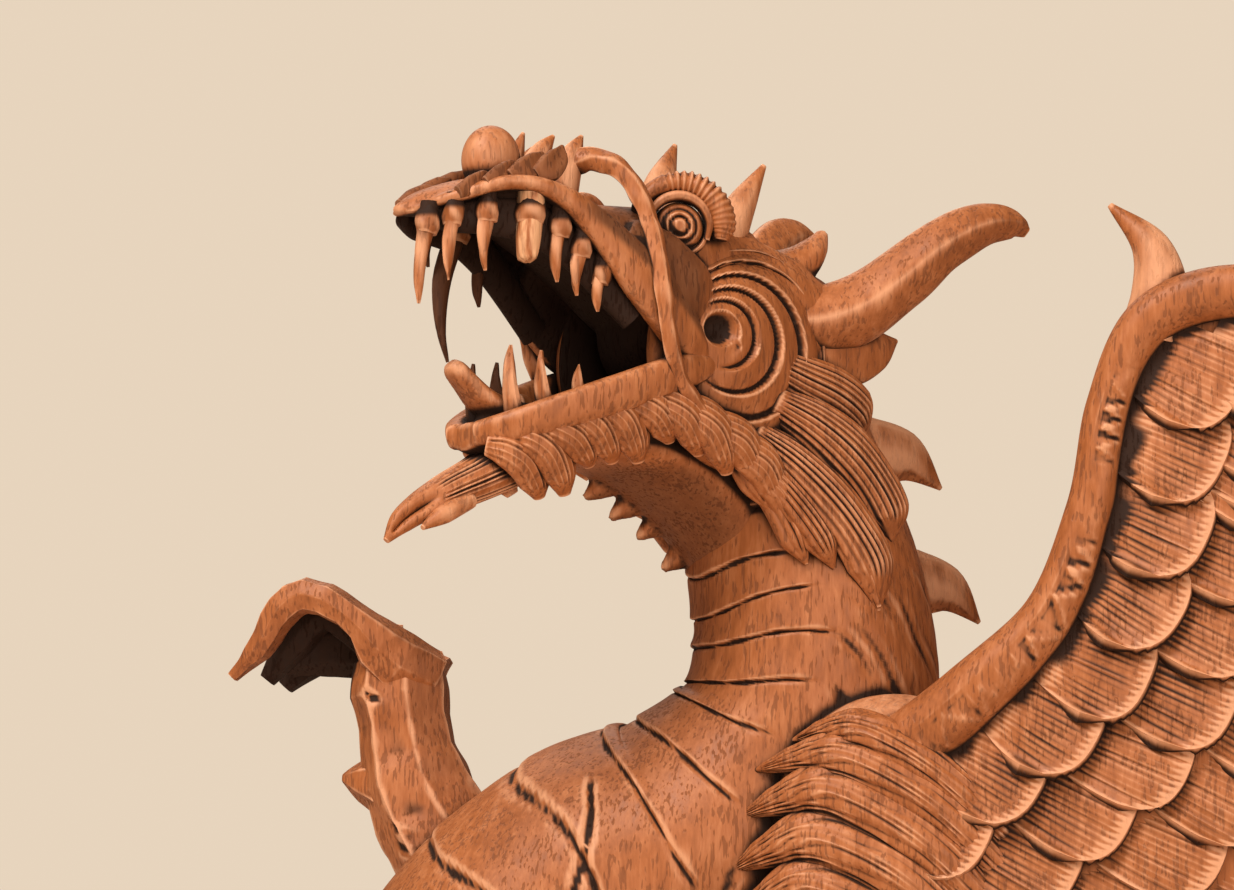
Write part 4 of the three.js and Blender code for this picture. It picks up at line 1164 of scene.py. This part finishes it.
# The lowered left arm along the breast, its claws spread over the rock.
arm_parts = [
    drawn(
        [(-6, -32, 146), (-26, -44, 124), (-50, -48, 102), (-64, -48, 82), (-68, -49, 60)],
        [(17, 17), (15, 15), (13, 13), (11.5, 11), (11, 10)], (1, 0, 0), around=8, along=12, power=3),
    *(
        drawn(
            [(-62, -48, 56), (-78, (y - 48) / 2, 54), (-90, y, 42), (-94 + 2 * abs(i - 1), y, 26)],
            [(6, 6), (5.5, 5), (4.6, 4.6), (1.6, 1.6)], (1, 0, 0), around=8, along=10, power=3)
        for i, y in enumerate((-64, -48, -32))
    ),
]
for part in arm_parts:
    facets_divided(part, 2)
left_arm = joined(arm_parts, "left_arm")
places = vertices_of(left_arm) / MM
set_vertices(left_arm, (places + (0.35 * waves(places, 17, 13, 2))[:, None] * normals_of(left_arm)) * MM)
kept(left_arm)

# The base: a low oval slab of the same block with a rounded edge, the rough mound inside the coil and the
# rock under the left claws, all left straight from the gouge.
base_half_length, base_half_width, base_thickness = 110, 94, 14
bpy.ops.object.select_all(action="DESELECT")
bpy.ops.mesh.primitive_cylinder_add(vertices=96, radius=1, depth=1)
slab = bpy.context.object
slab_halves = (base_half_length - 0.6, base_half_width - 0.6, base_thickness)
set_vertices(slab, (vertices_of(slab) * slab_halves + (0, 0, base_thickness / 2)) * MM)
edge = slab.modifiers.new("edge", "BEVEL")
edge.width, edge.segments, edge.limit_method = 3 * MM, 3, "ANGLE"
bpy.ops.object.modifier_apply(modifier=edge.name)
mounds = []
rock_mounds = [  # centre and half sizes
    ((-4, 6, 18), (74, 62, 10)),
    ((-2, 6, 26), (62, 50, 24)),
    ((-58, -44, 22), (33, 26, 30)),
]
for centre, halves in rock_mounds:
    bpy.ops.mesh.primitive_uv_sphere_add(segments=48, ring_count=32)
    mound = bpy.context.object
    set_vertices(mound, (vertices_of(mound) * halves + centre) * MM)
    mounds.append(mound)
base = fused([slab, *mounds], "base_and_rock", 2.0, smoothing=1)
places, normals = vertices_of(base) / MM, normals_of(base)
dents = 0.9 * np.abs(waves(places, 22, 21, 2)) + 0.5 * waves(places, 9, 22, 2)
lifted = ramp(places[:, 2], 1.0, 5.0)
places = places + normals * ((dents - 0.6) * lifted)[:, None]
places[:, 2] = np.maximum(places[:, 2], 0)
set_vertices(base, places * MM)
kept(base)

# The finish: the whole figure is stained reddish brown and waxed. Hollows and cuts are painted dark, as stain
# pooled there and painted shade, and every ridge is painted paler, as rubbed wear and a painted highlight.
# Open pores show as short dark flecks along the grain.


class Value:
    """A shader socket that can be used in sums"""

    def __init__(self, tree, socket):
        self.tree, self.socket = tree, socket

    def _maths(self, operation, other, swapped=False):
        made = self.tree.nodes.new("ShaderNodeMath")
        made.operation = operation
        for slot, term in enumerate((other, self) if swapped else (self, other)):
            if isinstance(term, Value):
                self.tree.links.new(term.socket, made.inputs[slot])
            else:
                made.inputs[slot].default_value = term
        return Value(self.tree, made.outputs[0])

    def __add__(self, other):
        return self._maths("ADD", other)

    def __radd__(self, other):
        return self._maths("ADD", other, True)

    def __sub__(self, other):
        return self._maths("SUBTRACT", other)

    def __rsub__(self, other):
        return self._maths("SUBTRACT", other, True)

    def __mul__(self, other):
        return self._maths("MULTIPLY", other)

    def __rmul__(self, other):
        return self._maths("MULTIPLY", other, True)


class Bench:
    """Adds nodes to one material"""

    def __init__(self, tree):
        self.tree = tree

    def node(self, kind, settings=None, inputs=None, output=0):
        made = self.tree.nodes.new(kind)
        for name, value in (settings or {}).items():
            if name == "stops":
                stops = made.color_ramp.elements
                for k, (place, colour) in enumerate(value):
                    stop = stops[k] if k < len(stops) else stops.new(place)
                    stop.position, stop.color = place, (*colour, 1)
            else:
                setattr(made, name, value)
        for name, value in (inputs or {}).items():
            if isinstance(value, Value):
                self.tree.links.new(value.socket, made.inputs[name])
            else:
                made.inputs[name].default_value = value
        return Value(self.tree, made.outputs[output])


def step(bench, value, low, high):
    """0 below low and 1 above high"""
    return bench.node("ShaderNodeMapRange", {"interpolation_type": "SMOOTHSTEP"},
                      {"Value": value, "From Min": low, "From Max": high})


def mixed(bench, share, first, second):
    return bench.node("ShaderNodeMix", {"data_type": "RGBA"}, {0: share, 6: first, 7: second}, output=2)


def wood_with_painted_light(name, fresh=False):
    wood = bpy.data.materials.new(name)
    wood.use_nodes = True
    tree = wood.node_tree
    shader = tree.nodes["Principled BSDF"]
    bench = Bench(tree)
    at = bench.node("ShaderNodeTexCoord", output=3)
    stain_and_painted_shade = bench.node("ShaderNodeAttribute", {"attribute_name": "stain_and_painted_shade"}, output=2)
    rubbed_and_highlit = bench.node("ShaderNodeAttribute", {"attribute_name": "rubbed_and_highlit"}, output=2)
    grain_at = bench.node("ShaderNodeMapping", None, {"Vector": at, "Scale": (1, 1, 0.16)})
    blotch = bench.node("ShaderNodeTexNoise", None, {"Vector": at, "Scale": 38, "Detail": 3})
    mottle = bench.node(
        "ShaderNodeTexNoise", None, {"Vector": grain_at, "Scale": 420, "Detail": 4, "Roughness": 0.6})
    streak = bench.node("ShaderNodeTexNoise", None, {"Vector": grain_at, "Scale": 1500, "Detail": 2})
    pore_noise = bench.node(
        "ShaderNodeTexNoise", None, {"Vector": grain_at, "Scale": 1250, "Detail": 1.5, "Roughness": 0.5})
    where_pores = bench.node("ShaderNodeTexNoise", None, {"Vector": at, "Scale": 130, "Detail": 2})
    pores = step(bench, pore_noise + (where_pores - 0.5) * 0.4, 0.56, 0.64)
    tone = bench.node("ShaderNodeValToRGB", {"stops": [
        (0.22, (0.17, 0.046, 0.011)), (0.5, (0.37, 0.118, 0.036)), (0.8, (0.55, 0.215, 0.088)),
    ]}, {"Fac": mottle * 0.6 + blotch * 0.4 + (streak - 0.5) * 0.25})
    colour = mixed(bench, pores * 0.62, tone, (0.16, 0.05, 0.017, 1))
    # paler on the ridges: rubbed wear and a painted highlight
    rubbed_and_highlight = step(bench, rubbed_and_highlit + (mottle - 0.5) * 0.6, 0.2, 0.85)
    colour = mixed(bench, rubbed_and_highlight * 0.78, colour, (0.72, 0.36, 0.2, 1))
    # nearly black in hollows, cuts and undersides: stain pooled there and painted shade
    sunk_in_painted_shade = step(bench, stain_and_painted_shade + (blotch - 0.5) * 0.16, 0.08, 0.8)
    colour = mixed(bench, sunk_in_painted_shade * 0.97, colour, (0.010, 0.003, 0.001, 1))
    if fresh:
        paler = step(bench, mottle, 0.35, 0.6)
        colour = mixed(bench, paler * 0.75, colour, (0.86, 0.5, 0.28, 1))
    tree.links.new(colour.socket, shader.inputs["Base Color"])
    rough = 0.5 + (mottle - 0.5) * 0.25 + sunk_in_painted_shade * 0.3 + pores * 0.2
    tree.links.new(rough.socket, shader.inputs["Roughness"])
    shader.inputs["Specular IOR Level"].default_value = 0.32
    height = mottle * 0.35 + streak * 0.15 - pores * 0.8
    bump = bench.node("ShaderNodeBump", None, {"Height": height, "Strength": 0.35, "Distance": 0.0004})
    tree.links.new(bump.socket, shader.inputs["Normal"])
    return wood


def edges_of(piece):
    flat = np.empty(len(piece.data.edges) * 2, np.int64)
    piece.data.edges.foreach_get("vertices", flat)
    return flat.reshape(-1, 2)


def solid_share(pieces, cell):
    """A grid over the figure that says which cells are wood, from columns of rays through every piece.
    A column whose ways in and out don't balance, as at the edge of an open shell, is left out."""
    margin = 12
    low, high = np.array(cad_low) / MM - margin, np.array(cad_high) / MM + margin
    counts = np.ceil((high - low) / cell).astype(int)
    grid = np.zeros(counts, np.int16)
    for piece in pieces:
        depsgraph = bpy.context.evaluated_depsgraph_get()
        tree = BVHTree.FromObject(piece, depsgraph)
        places = vertices_of(piece) / MM
        first = np.maximum(((places.min(0) - low) / cell).astype(int) - 1, 0)
        last = np.minimum(((places.max(0) - low) / cell).astype(int) + 2, counts)
        for i in range(first[0], last[0]):
            for j in range(first[1], last[1]):
                x, y = low[0] + (i + 0.5) * cell, low[1] + (j + 0.5) * cell
                start = Vector((x * MM, y * MM, (low[2] - 5) * MM))
                crossings = []
                for _ in range(40):
                    hit, normal, _, _ = tree.ray_cast(start, Vector((0, 0, 1)))
                    if hit is None:
                        break
                    k = int((hit.z / MM - low[2]) / cell + 0.5)
                    crossings.append((max(k, 0), 1 if normal.z < 0 else -1))
                    start = hit + Vector((0, 0, 1e-5))
                if sum(step_in for _, step_in in crossings) == 0:
                    for k, step_in in crossings:
                        grid[i, j, k:] += step_in
    return (grid > 0).astype(np.float32), low


def blurred(grid, radius):
    """Two box blurs along each axis"""
    for axis in range(3):
        for _ in range(2):
            moved = np.moveaxis(grid, axis, 0)
            summed = np.cumsum(np.pad(moved, ((radius + 1, radius), (0, 0), (0, 0)), mode="edge"), axis=0)
            span = 2 * radius + 1
            grid = np.moveaxis((summed[span:] - summed[:-span]) / span, 0, axis)
    return grid


def sampled(grid, low, cell, places):
    """The grid's values at these places, blended between the eight cells round each"""
    last = np.array(grid.shape) - 1
    at = np.clip((places - low) / cell - 0.5, 0, last - 0.001)
    first = at.astype(int)
    beyond = at - first
    total = 0
    for corner in range(8):
        step_on = np.array([corner & 1, corner >> 1 & 1, corner >> 2 & 1])
        weight = np.prod(np.where(step_on, beyond, 1 - beyond), axis=1)
        cells = np.minimum(first + step_on, last)
        total = total + weight * grid[cells[:, 0], cells[:, 1], cells[:, 2]]
    return total


shade_grid_cell, near_reach, wide_reach, easing_rounds = 1.5, 2.2, 6.5, 5
wood_grid, grid_low = solid_share(carved_pieces, shade_grid_cell)
near_wood, wide_wood = blurred(wood_grid, 1), blurred(wood_grid, 3)
common_wood = wood_with_painted_light("carved_wood_stain_and_painted_shade")
fresh_wood = wood_with_painted_light("splintered_fang_wood", fresh=True)
for piece in carved_pieces:
    places, normals = vertices_of(piece) / MM, normals_of(piece)
    edges = edges_of(piece)
    count = len(places)
    valence = np.bincount(edges.ravel(), minlength=count).clip(1)
    eased = places.copy()
    for easing_round in range(easing_rounds):
        total = np.stack([
            np.bincount(edges[:, 0], eased[edges[:, 1], axis], count)
            + np.bincount(edges[:, 1], eased[edges[:, 0], axis], count)
            for axis in range(3)
        ], axis=1)
        eased = total / valence[:, None]
        if easing_round == 1:
            fine_bend = ((eased - places) * normals).sum(1)
    # painted shade: concave bends and nearby wood (a painted occlusion) darken hollows and cuts, with pooled
    # stain; convex ridges are painted paler, as rubbed wear and a painted highlight
    bend = ((eased - places) * normals).sum(1)
    close = sampled(near_wood, grid_low, shade_grid_cell, places + normals * near_reach)
    wide = sampled(wide_wood, grid_low, shade_grid_cell, places + normals * wide_reach)
    stain_and_painted_shade = np.clip(fine_bend * 2.4, 0, 0.6) + np.clip(bend * 1.2, 0, 0.5)
    stain_and_painted_shade += np.clip((close - 0.14) / 0.45, 0, 1) * 0.7
    stain_and_painted_shade += np.clip((wide - 0.16) / 0.4, 0, 1) * 0.9
    if "painted_shade" in piece.data.attributes:
        stain_and_painted_shade = np.maximum(stain_and_painted_shade, mark_of(piece, "painted_shade"))
    rubbed_and_highlit = np.clip(-fine_bend * 3.2, 0, 1) * np.clip(1 - stain_and_painted_shade, 0, 1)
    marked(piece, "stain_and_painted_shade", np.clip(stain_and_painted_shade, 0, 1))
    marked(piece, "rubbed_and_highlit", rubbed_and_highlit)
    piece.data.materials.clear()
    piece.data.materials.append(fresh_wood if piece.name == "broken_fang_stump" else common_wood)
